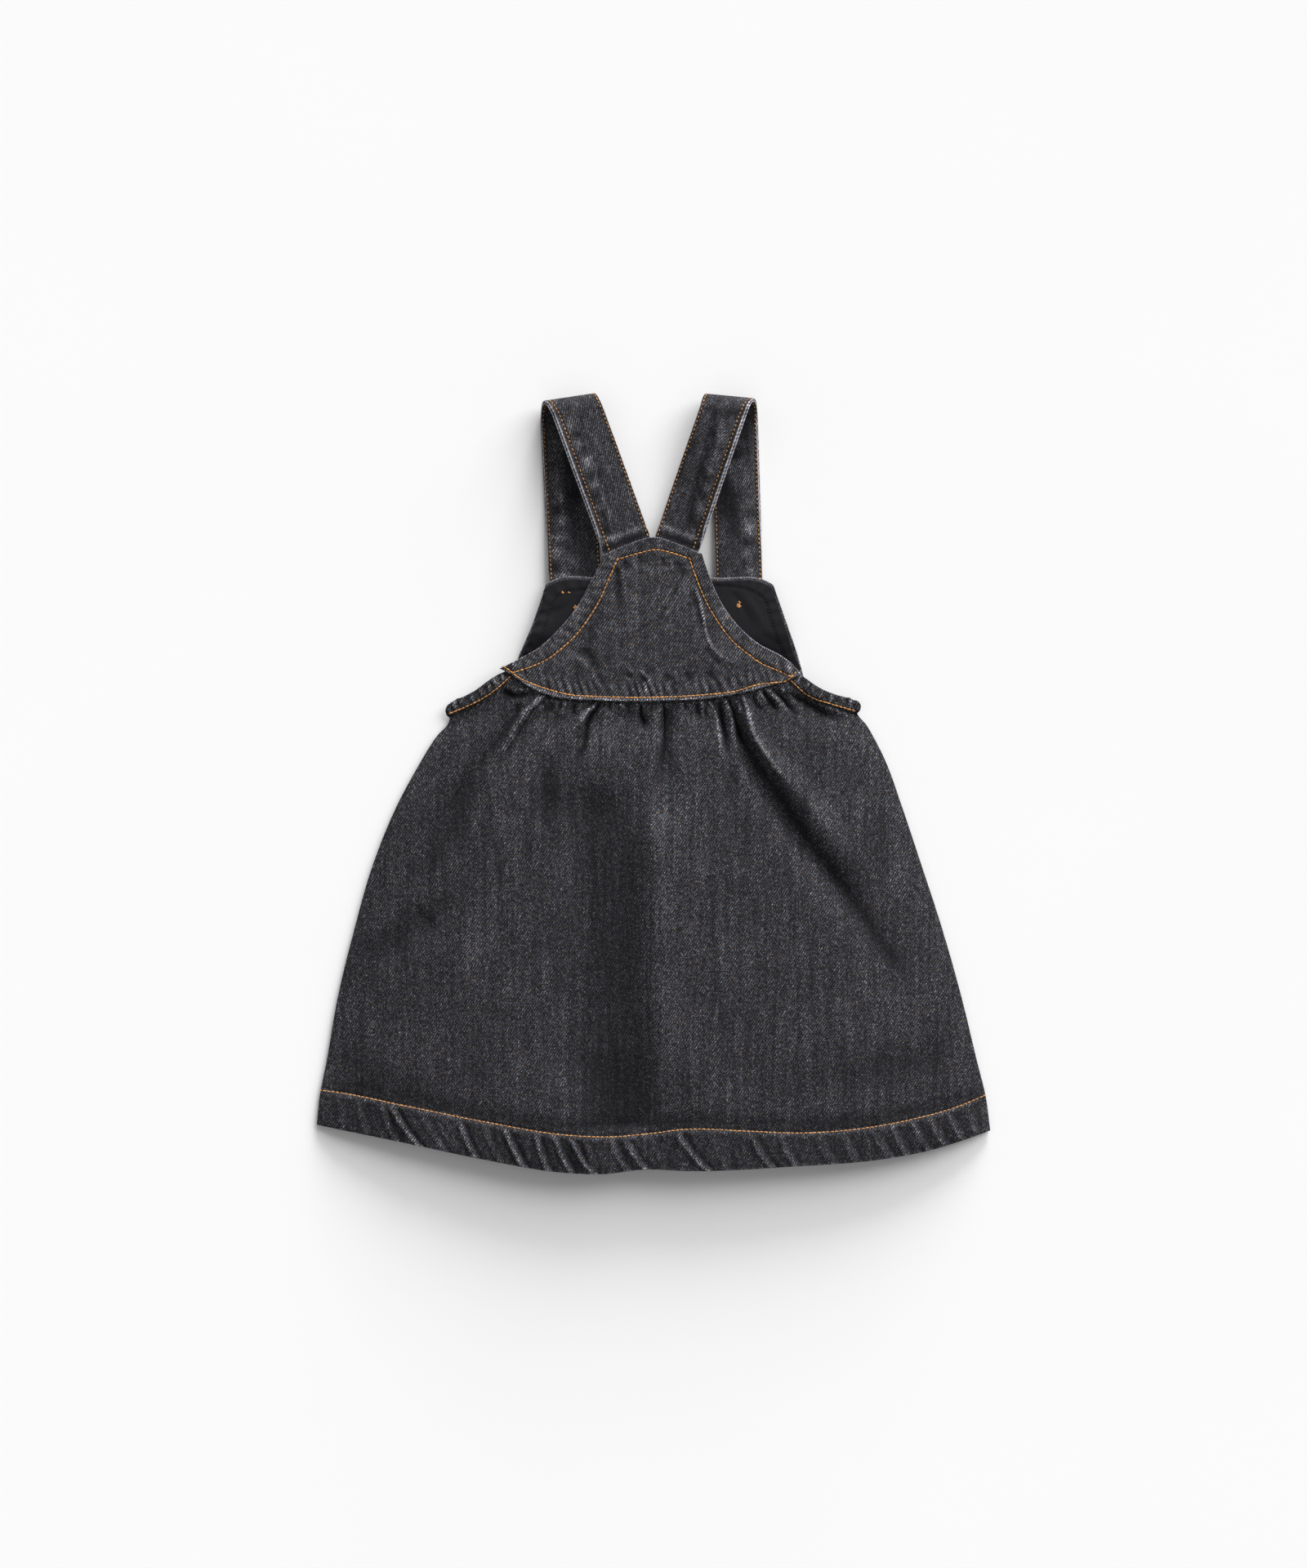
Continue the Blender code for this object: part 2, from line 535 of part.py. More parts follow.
def build_bodice(collection):
    """Back yoke, front bib and the bib's lining."""
    rows = np.linspace(0.0, 1.0, BODICE_ROWS + 1)
    panel_shell("yoke_back", yoke_surface, YOKE_COLUMNS, rows, DENIM_WALL, "yoke_denim", collection)
    bib = panel_plan(BIB_TOP, BIB_BOTTOM, BIB_LEFT, BIB_RIGHT)
    panel_shell("bib_front", bib_surface(bib, 0.0), BIB_COLUMNS, rows, DENIM_WALL, "denim", collection)
    top = [(x * LINING_WIDTH_SHARE, y - LINING_INSET) for x, y in BIB_TOP]
    bottom = [(x * LINING_WIDTH_SHARE, y + BIB_LAP + BIB_TUCK) for x, y in BIB_BOTTOM]
    left = [top[0]] + [(x + LINING_INSET, y) for x, y in BIB_LEFT[1:-1]] + [bottom[0]]
    right = [top[-1]] + [(x - LINING_INSET, y) for x, y in BIB_RIGHT[1:-1]] + [bottom[-1]]
    lining = panel_plan(top, bottom, left, right)
    lift = DENIM_WALL / 2 + SEAM_GAP + LINING_WALL / 2
    panel_shell("bib_lining", bib_surface(lining, lift), BIB_COLUMNS, rows, LINING_WALL, "lining", collection)


def build_straps(collection):
    """Two straps, each one long strip of doubled cloth."""
    for strap in STRAPS:
        surface, stations = strap_surface(strap)
        s, a = np.meshgrid(np.linspace(0.0, 1.0, STRAP_COLUMNS + 1), stations)
        grid_shell("strap_" + strap["side"], surface(s, a), STRAP_WALL, "strap_denim", collection)


def build_button(strap, collection, cutters):
    """Turned button with a dished face and four holes, face down."""
    name = "button_" + strap["side"]
    profile = [(0.0, BUTTON_HEIGHT)]
    profile += [(BUTTON_RADIUS - inset, height) for inset, height in BUTTON_EDGE]
    profile.append((0.0, BUTTON_DISH))
    mesh = bpy.data.meshes.new(name)
    points = [(radius * MM, 0.0, height * MM) for radius, height in profile]
    mesh.from_pydata(points, [(i, i + 1) for i in range(len(points) - 1)], [])
    mesh.materials.append(new_material(name + "_finish", "button"))
    button = bpy.data.objects.new(name, mesh)
    x, y = strap["button"]
    button.location = (x * MM, y * MM, 0.0)
    collection.objects.link(button)
    screw = button.modifiers.new("turn", "SCREW")
    screw.steps = BUTTON_SIDES
    screw.render_steps = BUTTON_SIDES
    screw.use_merge_vertices = True
    screw.merge_threshold = 0.00001
    for index in range(4):
        angle = math.pi / 4 + index * math.pi / 2
        bpy.ops.mesh.primitive_cylinder_add(
            vertices=BUTTON_HOLE_SIDES, radius=BUTTON_HOLE_RADIUS * MM, depth=3 * BUTTON_HEIGHT * MM,
            location=((x + BUTTON_HOLE_OFFSET * math.cos(angle)) * MM,
                      (y + BUTTON_HOLE_OFFSET * math.sin(angle)) * MM, BUTTON_HEIGHT / 2 * MM),
        )
        cutter = bpy.context.active_object
        cutter.name = f"{name}_hole_{index + 1}"
        for owner in list(cutter.users_collection):
            owner.objects.unlink(cutter)
        cutters.objects.link(cutter)
        cutter.hide_render = True
        cutter.display_type = "WIRE"
        hole = button.modifiers.new(f"hole_{index + 1}", "BOOLEAN")
        hole.operation = "DIFFERENCE"
        hole.solver = "EXACT"
        hole.object = cutter


def main():
    """Build the whole dress."""
    clear_scene()
    dress = new_collection("denim_pinafore_dress")
    cutters = new_collection("denim_pinafore_dress_cutters")
    build_skirt(dress)
    build_bodice(dress)
    build_straps(dress)
    for strap in STRAPS:
        build_button(strap, dress, cutters)


main()
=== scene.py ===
"""Looks of the baby's denim pinafore dress, laid on its front with the back up.

Every piece of cloth is a thin closed wall, with the finer folds, gathers,
puckers and seams that the solids leave out. All but the underarm bands are on
the form of their solids, from nearly the same plan sizes. The bands follow
outlines of their own and run further under the yoke than their solids do.
Sewing is laid along the seams by Geometry Nodes.

Plan sizes are in millimetres, with +X to the right, +Y towards the straps and
+Z up from the surface that the dress lies on.
"""

from __future__ import annotations

import logging
import math
from dataclasses import dataclass, field
from enum import Enum
from typing import Callable, ClassVar, Iterable, Sequence

import bpy
import numpy as np
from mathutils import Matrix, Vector
from mathutils.bvhtree import BVHTree


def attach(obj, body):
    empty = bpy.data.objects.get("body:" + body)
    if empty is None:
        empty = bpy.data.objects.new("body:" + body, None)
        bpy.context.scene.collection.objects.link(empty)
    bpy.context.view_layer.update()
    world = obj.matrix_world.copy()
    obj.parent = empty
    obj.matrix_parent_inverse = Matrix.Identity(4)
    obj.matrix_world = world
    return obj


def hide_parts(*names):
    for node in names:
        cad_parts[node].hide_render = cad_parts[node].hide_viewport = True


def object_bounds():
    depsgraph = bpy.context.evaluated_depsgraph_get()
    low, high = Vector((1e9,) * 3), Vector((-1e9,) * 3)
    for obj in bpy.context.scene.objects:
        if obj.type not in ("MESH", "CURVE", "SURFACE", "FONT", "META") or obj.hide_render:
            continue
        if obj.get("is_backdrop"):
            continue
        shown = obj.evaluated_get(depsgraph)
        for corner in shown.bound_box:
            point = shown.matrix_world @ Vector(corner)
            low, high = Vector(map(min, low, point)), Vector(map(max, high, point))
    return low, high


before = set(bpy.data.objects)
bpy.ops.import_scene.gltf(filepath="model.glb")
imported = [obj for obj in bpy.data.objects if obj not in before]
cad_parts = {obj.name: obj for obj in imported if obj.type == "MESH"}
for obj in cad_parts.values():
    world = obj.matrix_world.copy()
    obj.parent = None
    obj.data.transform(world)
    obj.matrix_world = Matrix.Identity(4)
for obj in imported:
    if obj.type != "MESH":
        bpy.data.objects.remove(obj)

log = logging.getLogger("denim_pinafore_dress")

Array = np.ndarray
Colour = tuple[float, float, float]
Point2 = tuple[float, float]
Material = bpy.types.Material
Node = bpy.types.Node
NodeTree = bpy.types.NodeTree
Object = bpy.types.Object
Socket = bpy.types.NodeSocket

MM = 0.001
BODY = "root"

DENIM_WALL = 1.2
LINING_WALL = 1.0
STRAP_WALL = 2.4
BAND_WALL = 1.6
SEAM_GAP = 0.3


# --------------------------------------------------------------------------
# Shape helpers
# --------------------------------------------------------------------------


def smooth_step(value: Array, start: float, end: float) -> Array:
    """Ease from 0 at start to 1 at end."""
    part = np.clip((value - start) / (end - start), 0.0, 1.0)
    return part * part * (3.0 - 2.0 * part)


def bell(value: Array, half_width: Array | float) -> Array:
    """Soft bump of height 1 round zero."""
    return np.exp(-((value / half_width) ** 2))


def unit(vectors: Array) -> Array:
    """Vectors of length 1 in the same directions."""
    return vectors / np.maximum(np.linalg.norm(vectors, axis=-1, keepdims=True), 1e-9)


def puckers(run: Array, pitch: float) -> Array:
    """Uneven ripple from -1 to 1 along a seam.

    Args:
        run: Distance along the seam, in millimetres.
        pitch: Usual distance between two puckers.

    Returns:
        The ripple at each distance.
    """
    drift = 1.9 * np.sin(run / (1.9 * pitch)) + 1.3 * np.sin(run / (1.1 * pitch) + 1.0)
    strength = 0.7 + 0.3 * np.sin(run / (1.4 * pitch) + 2.0)
    return strength * np.sin(2 * math.pi * run / pitch + drift)


@dataclass
class PlanCurve:
    """Smooth plan curve through a few points, read by the fraction of its length."""

    points: Sequence[Point2]
    steps: int = 800
    line: Array = field(init=False, repr=False)
    run: Array = field(init=False, repr=False)

    def __post_init__(self) -> None:
        """Work out the curve once."""
        points = np.array(self.points, dtype=float)
        chord = np.concatenate([[0.0], np.cumsum(np.linalg.norm(np.diff(points, axis=0), axis=1))])
        slope = np.gradient(points, chord, axis=0)
        at = np.linspace(0.0, chord[-1], self.steps)
        span = np.clip(np.searchsorted(chord, at, side="right") - 1, 0, len(points) - 2)
        width = (chord[span + 1] - chord[span])[:, None]
        part = (at - chord[span])[:, None] / width
        self.line = (
            (2 * part**3 - 3 * part**2 + 1) * points[span]
            + (part**3 - 2 * part**2 + part) * width * slope[span]
            + (3 * part**2 - 2 * part**3) * points[span + 1]
            + (part**3 - part**2) * width * slope[span + 1]
        )
        self.run = np.concatenate([[0.0], np.cumsum(np.linalg.norm(np.diff(self.line, axis=0), axis=1))])

    @property
    def length(self) -> float:
        """Length of the curve, in millimetres."""
        return float(self.run[-1])

    def at(self, fraction: Array | float) -> Array:
        """Points at fractions of the length."""
        length = np.asarray(fraction) * self.run[-1]
        return np.stack(
            [np.interp(length, self.run, self.line[:, 0]), np.interp(length, self.run, self.line[:, 1])],
            axis=-1,
        )

    def spaced(self, step: float) -> Array:
        """Points about a step apart along the whole curve."""
        return self.at(np.linspace(0.0, 1.0, max(2, round(self.length / step) + 1)))

    def distance(self, x: Array, y: Array, pieces: int = 32) -> tuple[Array, Array, Array]:
        """Distance from plan points to the curve.

        Args:
            x: Plan x of each point.
            y: Plan y of each point.
            pieces: How many straight pieces stand for the curve.

        Returns:
            The distance, the fraction of the length at the nearest place, and
            the distance with a sign, positive to the left of the curve's run.
        """
        line = self.at(np.linspace(0.0, 1.0, pieces + 1))
        nearest = np.full(x.shape, np.inf)
        along = np.zeros(x.shape)
        side = np.zeros(x.shape)
        for index, (start, end) in enumerate(zip(line[:-1], line[1:])):
            step = end - start
            size = np.hypot(*step)
            step = step / size
            run = np.clip((x - start[0]) * step[0] + (y - start[1]) * step[1], 0.0, size)
            away = np.hypot(x - start[0] - run * step[0], y - start[1] - run * step[1])
            closer = away < nearest
            nearest = np.where(closer, away, nearest)
            along = np.where(closer, (index + run / size) / pieces, along)
            cross = step[0] * (y - start[1]) - step[1] * (x - start[0])
            side = np.where(closer, np.sign(cross), side)
        return nearest, along, side * nearest


@dataclass
class PanelPlan:
    """Plan of a panel between its four edges, read across (s) and down (t)."""

    top: PlanCurve
    bottom: PlanCurve
    left: PlanCurve
    right: PlanCurve

    def at(self, s: Array, t: Array) -> Array:
        """Plan points of the panel."""
        s_column, t_column = s[..., None], t[..., None]
        between_ends = (1 - t_column) * self.top.at(s) + t_column * self.bottom.at(s)
        between_sides = (1 - s_column) * self.left.at(t) + s_column * self.right.at(t)
        corners = (1 - t_column) * ((1 - s_column) * self.top.at(0.0) + s_column * self.top.at(1.0))
        corners += t_column * ((1 - s_column) * self.bottom.at(0.0) + s_column * self.bottom.at(1.0))
        return between_ends + between_sides - corners


def panel(*edges: Sequence[Point2]) -> PanelPlan:
    """Plan of a panel from the points of its top, bottom, left and right edge."""
    return PanelPlan(*(PlanCurve(edge) for edge in edges))


def panel_grid(columns: int, rows: int) -> tuple[Array, Array]:
    """Even places across (s) and down (t) a panel, from 0 to 1."""
    return tuple(np.meshgrid(np.linspace(0.0, 1.0, columns), np.linspace(0.0, 1.0, rows)))


def new_object(name: str, data: bpy.types.ID) -> Object:
    """Make an object and put it in the scene."""
    made = bpy.data.objects.new(name, data)
    bpy.context.scene.collection.objects.link(made)
    return made


@dataclass(frozen=True)
class Fold:
    """One trough (depth below zero) or ridge, with its half widths at both ends."""

    depth: float
    start: float
    end: float
    line: tuple[Point2, ...]
    fade_in: float = 0.12
    fade_out: float = 0.45
    # Below zero darkens the trough as painted shade; above zero lightens the ridge as worn crest and partly
    # as painted highlight.
    wear_and_shade: float = 0.0

    def profile(self, x: Array, y: Array) -> Array:
        """Share of the fold's depth at plan points."""
        away, along, _ = PlanCurve(self.line, 60).distance(x, y, 23)
        half_width = self.start + (self.end - self.start) * along
        fade = smooth_step(along, 0.0, self.fade_in) * (1 - smooth_step(along, 1 - self.fade_out, 1.0))
        return fade * bell(away, half_width)


class PaleFace(Enum):
    """Face of a wall of denim that shows the cloth's pale wrong side."""

    NONE = "none"
    UPPER = "upper"
    LOWER = "lower"


# Rim of a wall from its upper face to its lower one, as shares of half the
# wall: outwards, upwards, and how worn the cloth is there. On the doubled
# rim the two middle rings are darkened as painted shade in the crease
# between the two layers.
SINGLE_RIM: tuple[tuple[float, float, float], ...] = ((0.71, 0.71, 0.7), (1.0, 0.0, 1.0), (0.71, -0.71, 0.5))
DOUBLE_RIM: tuple[tuple[float, float, float], ...] = (
    (0.42, 0.88, 1.2), (0.66, 0.5, 2.2), (0.36, 0.12, -0.2), (0.36, -0.12, -0.2),
    (0.66, -0.5, 2.2), (0.42, -0.88, 1.2),
)


@dataclass
class ClothWall:
    """Closed wall of cloth round a grid of middle points, with rounded edges."""

    name: str
    middle: Array
    wall: Array | float
    grain: Array
    # Above zero lightens worn cloth; below zero darkens it as painted shade in troughs, grooves and under
    # edges.
    wear_and_shade: Array | float = 0.0
    doubled: bool = False
    pale: PaleFace = PaleFace.NONE
    lower_step: int = 1
    obj: Object = field(init=False, repr=False)
    tree: BVHTree = field(init=False, repr=False)

    def build(self, material: Material) -> Object:
        """Make the mesh.

        Args:
            material: Finish of the whole wall.

        Returns:
            The object, with the cloth's grain as its UV map, in metres.
        """
        middle = self.middle.copy()
        rows, columns = middle.shape[:2]
        rim = DOUBLE_RIM if self.doubled else SINGLE_RIM
        half = np.broadcast_to(np.asarray(self.wall) / 2, (rows, columns))[..., None]
        wear_and_shade = np.broadcast_to(self.wear_and_shade, (rows, columns))
        down, across = np.gradient(middle, axis=0), np.gradient(middle, axis=1)
        normal = unit(np.cross(down, across))
        loop = self._edge_loop(rows, columns)
        outward = np.zeros_like(middle)
        outward[0] -= unit(down[0])
        outward[-1] += unit(down[-1])
        outward[:, 0] -= unit(across[:, 0])
        outward[:, -1] += unit(across[:, -1])
        edge_row, edge_column = loop[:, 0], loop[:, 1]
        out = unit(outward[edge_row, edge_column])
        edge_half = half[edge_row, edge_column]
        reach = max(place[0] for place in rim)
        middle[edge_row, edge_column] -= out * edge_half * reach
        up = normal[edge_row, edge_column]
        edge_middle = middle[edge_row, edge_column]

        below = (slice(None, None, self.lower_step),) * 2
        blocks = [(middle + normal * half).reshape(-1, 3), (middle - normal * half)[below].reshape(-1, 3)]
        wear_and_shade_blocks = [wear_and_shade.ravel(), wear_and_shade[below].ravel()]
        turned = (-1.0, 1.0) if self.doubled else (1.0, 1.0)
        grains = [self.grain.reshape(-1, 2), (self.grain * turned)[below].reshape(-1, 2)]
        pales = [np.full(len(block), float(self.pale is face))
                 for block, face in zip(blocks, (PaleFace.UPPER, PaleFace.LOWER))]
        for ring, (out_share, up_share, wear_and_shade_amount) in enumerate(rim, start=1):
            blocks.append(edge_middle + out * edge_half * out_share + up * edge_half * up_share)
            wear_and_shade_blocks.append(np.clip(wear_and_shade[edge_row, edge_column] + wear_and_shade_amount, -1.0, 2.2))
            grains.append(self.grain[edge_row, edge_column] + out[:, :2] * 0.45 * ring)
            pales.append(np.zeros(len(loop)))
        faces = self._faces(rows, columns, loop, len(rim), self.lower_step)

        mesh = bpy.data.meshes.new(self.name)
        mesh.from_pydata((np.concatenate(blocks) * MM).tolist(), [], faces)
        mesh.shade_smooth()
        grain = np.concatenate(grains) * MM
        corner = np.empty(len(mesh.loops), dtype=np.int32)
        mesh.loops.foreach_get("vertex_index", corner)
        mesh.uv_layers.new(name="grain").data.foreach_set("uv", grain[corner].ravel())
        mesh.attributes.new("wear_and_shade", "FLOAT", "POINT").data.foreach_set("value", np.concatenate(wear_and_shade_blocks))
        mesh.attributes.new("pale", "FLOAT", "POINT").data.foreach_set("value", np.concatenate(pales))
        mesh.materials.append(material)
        self.obj = new_object(self.name, mesh)
        self.tree = BVHTree.FromPolygons(np.concatenate(blocks).tolist(), faces)
        log.info("%s: %d triangles", self.name, sum(len(face) - 2 for face in faces))
        return self.obj

    @staticmethod
    def _edge_loop(rows: int, columns: int) -> Array:
        """Rows and columns of the grid's edge, anticlockwise from the top left."""
        left = [(row, 0) for row in range(rows - 1)]
        bottom = [(rows - 1, column) for column in range(columns - 1)]
        right = [(row, columns - 1) for row in range(rows - 1, 0, -1)]
        top = [(0, column) for column in range(columns - 1, 0, -1)]
        return np.array(left + bottom + right + top)

    @staticmethod
    def _faces(rows: int, columns: int, loop: Array, rings: int, step: int) -> list[list[int]]:
        """Faces of both sides and of the rim, the lower side coarser by the step (1 or 2)."""
        upper = np.arange(rows * columns).reshape(rows, columns)
        lower = np.arange(upper[::step, ::step].size).reshape(upper[::step, ::step].shape) + upper.size
        first = upper.size + lower.size
        levels = [upper[loop[:, 0], loop[:, 1]]]
        levels += [first + ring * len(loop) + np.arange(len(loop)) for ring in range(rings)]
        low = lower[loop[::step, 0] // step, loop[::step, 1] // step]
        blocks = []
        for index, way in ((upper, 1), (lower, -1)):
            grid = np.stack([index[:-1, :-1], index[1:, :-1], index[1:, 1:], index[:-1, 1:]], axis=-1)
            blocks.append(grid.reshape(-1, 4)[:, ::way])
        if step == 1:
            levels.append(low)
        else:
            start, between = levels[-1][::2], levels[-1][1::2]
            blocks.append(np.stack([start, low, between], axis=-1))
            blocks.append(np.stack([between, low, np.roll(low, -1), np.roll(start, -1)], axis=-1))
        for high, down in zip(levels[:-1], levels[1:]):
            blocks.append(np.stack([high, down, np.roll(down, -1), np.roll(high, -1)], axis=-1))
        return [face for block in blocks for face in block.tolist()]

    def upper_height(self, x: Array, y: Array, missing: float) -> Array:
        """Height of the wall's upper face at plan points, or the missing value beside it."""
        height = np.full(x.size, missing)
        for index, place in enumerate(zip(x.ravel(), y.ravel())):
            hit = self.tree.ray_cast(Vector((*place, 100.0)), Vector((0.0, 0.0, -1.0)))[0]
            if hit is not None:
                height[index] = hit.z
        return height.reshape(x.shape)

    def lay(self, line: Array, above: bool = True, lift: float = 0.0) -> tuple[Array, Array]:
        """Lay a plan line on the wall's upper or lower face.

        Args:
            line: Plan points, in millimetres.
            above: Whether the line lies on the upper face.
            lift: How far the points stand off the face.

        Returns:
            The points on the face and the face's direction at each.
        """
        height, way = (100.0, -1.0) if above else (-100.0, 1.0)
        points, ups = [], []
        for x, y in line:
            hit, normal, _, _ = self.tree.ray_cast(Vector((x, y, height)), Vector((0.0, 0.0, way)))
            if hit is None:
                continue
            points.append(np.array(hit) + np.array(normal) * lift)
            ups.append(np.array(normal))
        return np.array(points), np.array(ups)


# --------------------------------------------------------------------------
# Finishes
# --------------------------------------------------------------------------


@dataclass
class NodeBoard:
    """Short ways to add nodes to a node tree."""

    tree: NodeTree

    def node(self, kind: str, inputs: dict[str | int, object] | None = None, **settings: object) -> Node:
        """Add a node.

        Args:
            kind: Blender's name of the node's type.
            inputs: Values or sockets for its inputs, by name or number.
            **settings: Properties of the node.

        Returns:
            The new node.
        """
        node = self.tree.nodes.new(kind)
        for key, value in settings.items():
            setattr(node, key, value)
        for key, value in (inputs or {}).items():
            self.feed(node.inputs[key], value)
        return node

    def feed(self, socket: Socket, value: object) -> None:
        """Link a socket, or set its value."""
        if isinstance(value, Socket):
            self.tree.links.new(value, socket)
        else:
            socket.default_value = value

    def fill(self, node: Node, values: dict[str, object]) -> None:
        """Feed several inputs of a node, by name."""
        for key, value in values.items():
            self.feed(node.inputs[key], value)

    def mark(self, name: str) -> Socket:
        """Value of one of the cloth's own attributes, such as its wear and painted shade."""
        return self.node("ShaderNodeAttribute", attribute_name=name).outputs["Fac"]

    def bump(self, strength: float, distance: float, height: Socket) -> Socket:
        """Direction of a face with fine relief."""
        inputs = {"Strength": strength, "Distance": distance, "Height": height}
        return self.node("ShaderNodeBump", inputs).outputs["Normal"]

    def math(self, operation: str, *values: object, clamp: bool = False) -> Socket:
        """Result of a Math node."""
        kind = "ShaderNodeMath"
        return self.node(kind, dict(enumerate(values)), operation=operation, use_clamp=clamp).outputs[0]

    def noise(self, place: Socket, scale: float, detail: float = 2.0, roughness: float = 0.5) -> Socket:
        """Noise from 0 to 1, its features about 1 / scale of a metre wide."""
        inputs = {"Vector": place, "Scale": scale, "Detail": detail, "Roughness": roughness}
        return self.node("ShaderNodeTexNoise", inputs).outputs["Fac"]

    def stretched(self, place: Socket, scale: tuple[float, float, float]) -> Socket:
        """Place multiplied by a scale for each axis."""
        return self.node("ShaderNodeVectorMath", {0: place, 1: scale}, operation="MULTIPLY").outputs[0]

    def ramp(self, value: Socket, low: float, high: float) -> Socket:
        """Ease from 0 at low to 1 at high."""
        inputs = {"Value": value, "From Min": low, "From Max": high}
        return self.node("ShaderNodeMapRange", inputs, interpolation_type="SMOOTHSTEP").outputs["Result"]

    def blend(self, share: object, first: object, second: object) -> Socket:
        """Mix of two colours."""
        node = self.node("ShaderNodeMix", data_type="RGBA")
        colours = [socket for socket in node.inputs if socket.type == "RGBA"]
        self.feed(node.inputs["Factor"], share)
        self.feed(colours[0], first)
        self.feed(colours[1], second)
        return next(socket for socket in node.outputs if socket.type == "RGBA")


def new_group(name: str, inputs: dict[str, str], outputs: dict[str, str]) -> NodeTree:
    """Make an empty shader group with named sockets.

    Args:
        name: Name of the group.
        inputs: Type of each input, by name.
        outputs: Type of each output, by name.

    Returns:
        The group.
    """
    group = bpy.data.node_groups.new(name, "ShaderNodeTree")
    for way, sockets in (("INPUT", inputs), ("OUTPUT", outputs)):
        for socket, kind in sockets.items():
            group.interface.new_socket(name=socket, in_out=way, socket_type="NodeSocket" + kind)
    return group


def twill_weave_group() -> NodeTree:
    """Washed denim twill: dark warp floats, pale weft flecks along the diagonal.

    Returns:
        The group. Its Grain input is in metres, across and along the warp.
    """
    amounts = ("Wear And Shade", "Pale", "Warp Pitch", "Weft Pitch", "Twill", "Contrast", "Fleck", "Mottle", "Tint")
    inputs = {"Grain": "Vector", **dict.fromkeys(amounts, "Float"), "Dark Yarn": "Color",
              "Light Yarn": "Color"}
    group = new_group("twill_weave", inputs, {"Color": "Color", "Roughness": "Float", "Height": "Float"})
    board = NodeBoard(group)
    given = board.node("NodeGroupInput").outputs
    grain = given["Grain"]
    wobble = board.math("SUBTRACT", board.noise(grain, 260.0, 2.0), 0.5)
    split = board.node("ShaderNodeSeparateXYZ", {0: grain})
    ends = board.math("ADD", board.math("DIVIDE", split.outputs["X"], given["Warp Pitch"]),
                      board.math("MULTIPLY", wobble, 2.2))
    picks = board.math("DIVIDE", split.outputs["Y"], given["Weft Pitch"])
    diagonal = board.math("MULTIPLY", board.math("SUBTRACT", ends, picks), math.pi / 2)
    wave = board.math("MULTIPLY_ADD", board.math("COSINE", diagonal), 0.5, 0.5)
    cell = board.node("ShaderNodeCombineXYZ", {0: board.math("FLOOR", ends), 1: board.math("FLOOR", picks)})
    chance = board.node("ShaderNodeTexWhiteNoise", {"Vector": cell.outputs[0]},
        noise_dimensions="2D").outputs["Value"]
    crumb = board.noise(grain, 1150.0, 2.0, 0.65)
    octaves = (
        (wave, 0.5, given["Twill"]), (chance, 0.5, 3.4), (crumb, 0.5, 6.2),
        (board.noise(grain, 430.0, 2.0, 0.55), 0.5, 3.6),
        (board.noise(board.stretched(grain, (1.0, 0.07, 1.0)), 210.0, 2.0, 0.6), 0.5, 2.6),
        (board.noise(board.stretched(grain, (1.0, 0.03, 1.0)), 1000.0, 1.0), 0.5, 1.6),
        (board.noise(grain, 26.0, 3.0, 0.6), 0.5, 1.6),
        (board.noise(grain, 120.0, 2.0, 0.6), 0.5, given["Mottle"]),
    )
    stops = 0.0
    for value, mean, weight in octaves:
        stops = board.math("ADD", stops, board.math("MULTIPLY", board.math("SUBTRACT", value, mean), weight))
    # Wear above zero lightens the twill and calms its flecks; below zero it darkens the twill as painted
    # shade.
    calm = board.math("SUBTRACT", 1.0, board.math("MULTIPLY", board.ramp(given["Wear And Shade"], 0.8, 2.0), 0.65))
    stops = board.math("MULTIPLY", stops, board.math("MULTIPLY", calm, given["Contrast"]))
    stops = board.math("MULTIPLY_ADD", given["Wear And Shade"], 1.7, stops)
    tone = board.math("MULTIPLY", board.math("POWER", 2.0, stops), given["Fleck"])
    wrong = board.math("MULTIPLY_ADD", board.math("SUBTRACT", 1.0, wave), 0.2,
        board.math("MULTIPLY", crumb, 0.28))
    tone = board.math("ADD", tone, board.math("MULTIPLY", given["Pale"], wrong), clamp=True)

    colour = board.blend(tone, given["Dark Yarn"], given["Light Yarn"])
    hue = board.noise(board.stretched(grain, (1.0, 0.55, 1.0)), 900.0, 1.0)
    hue = board.math("MULTIPLY", board.math("SUBTRACT", hue, 0.5), given["Tint"])
    cast = board.node("ShaderNodeCombineXYZ", {
        0: board.math("ADD", 1.0, hue), 1: 1.0, 2: board.math("SUBTRACT", 1.0, hue),
    })
    colour = board.node("ShaderNodeVectorMath", {0: colour, 1: cast.outputs[0]},
        operation="MULTIPLY").outputs[0]
    height = board.math("MULTIPLY_ADD", wave, 0.55, board.math("MULTIPLY", crumb, 0.55))
    height = board.math("MULTIPLY_ADD", chance, 0.15, height)
    rough = board.math("MULTIPLY_ADD", crumb, 0.16, 0.78)
    board.node("NodeGroupOutput", {"Color": colour, "Roughness": rough, "Height": height})
    return group


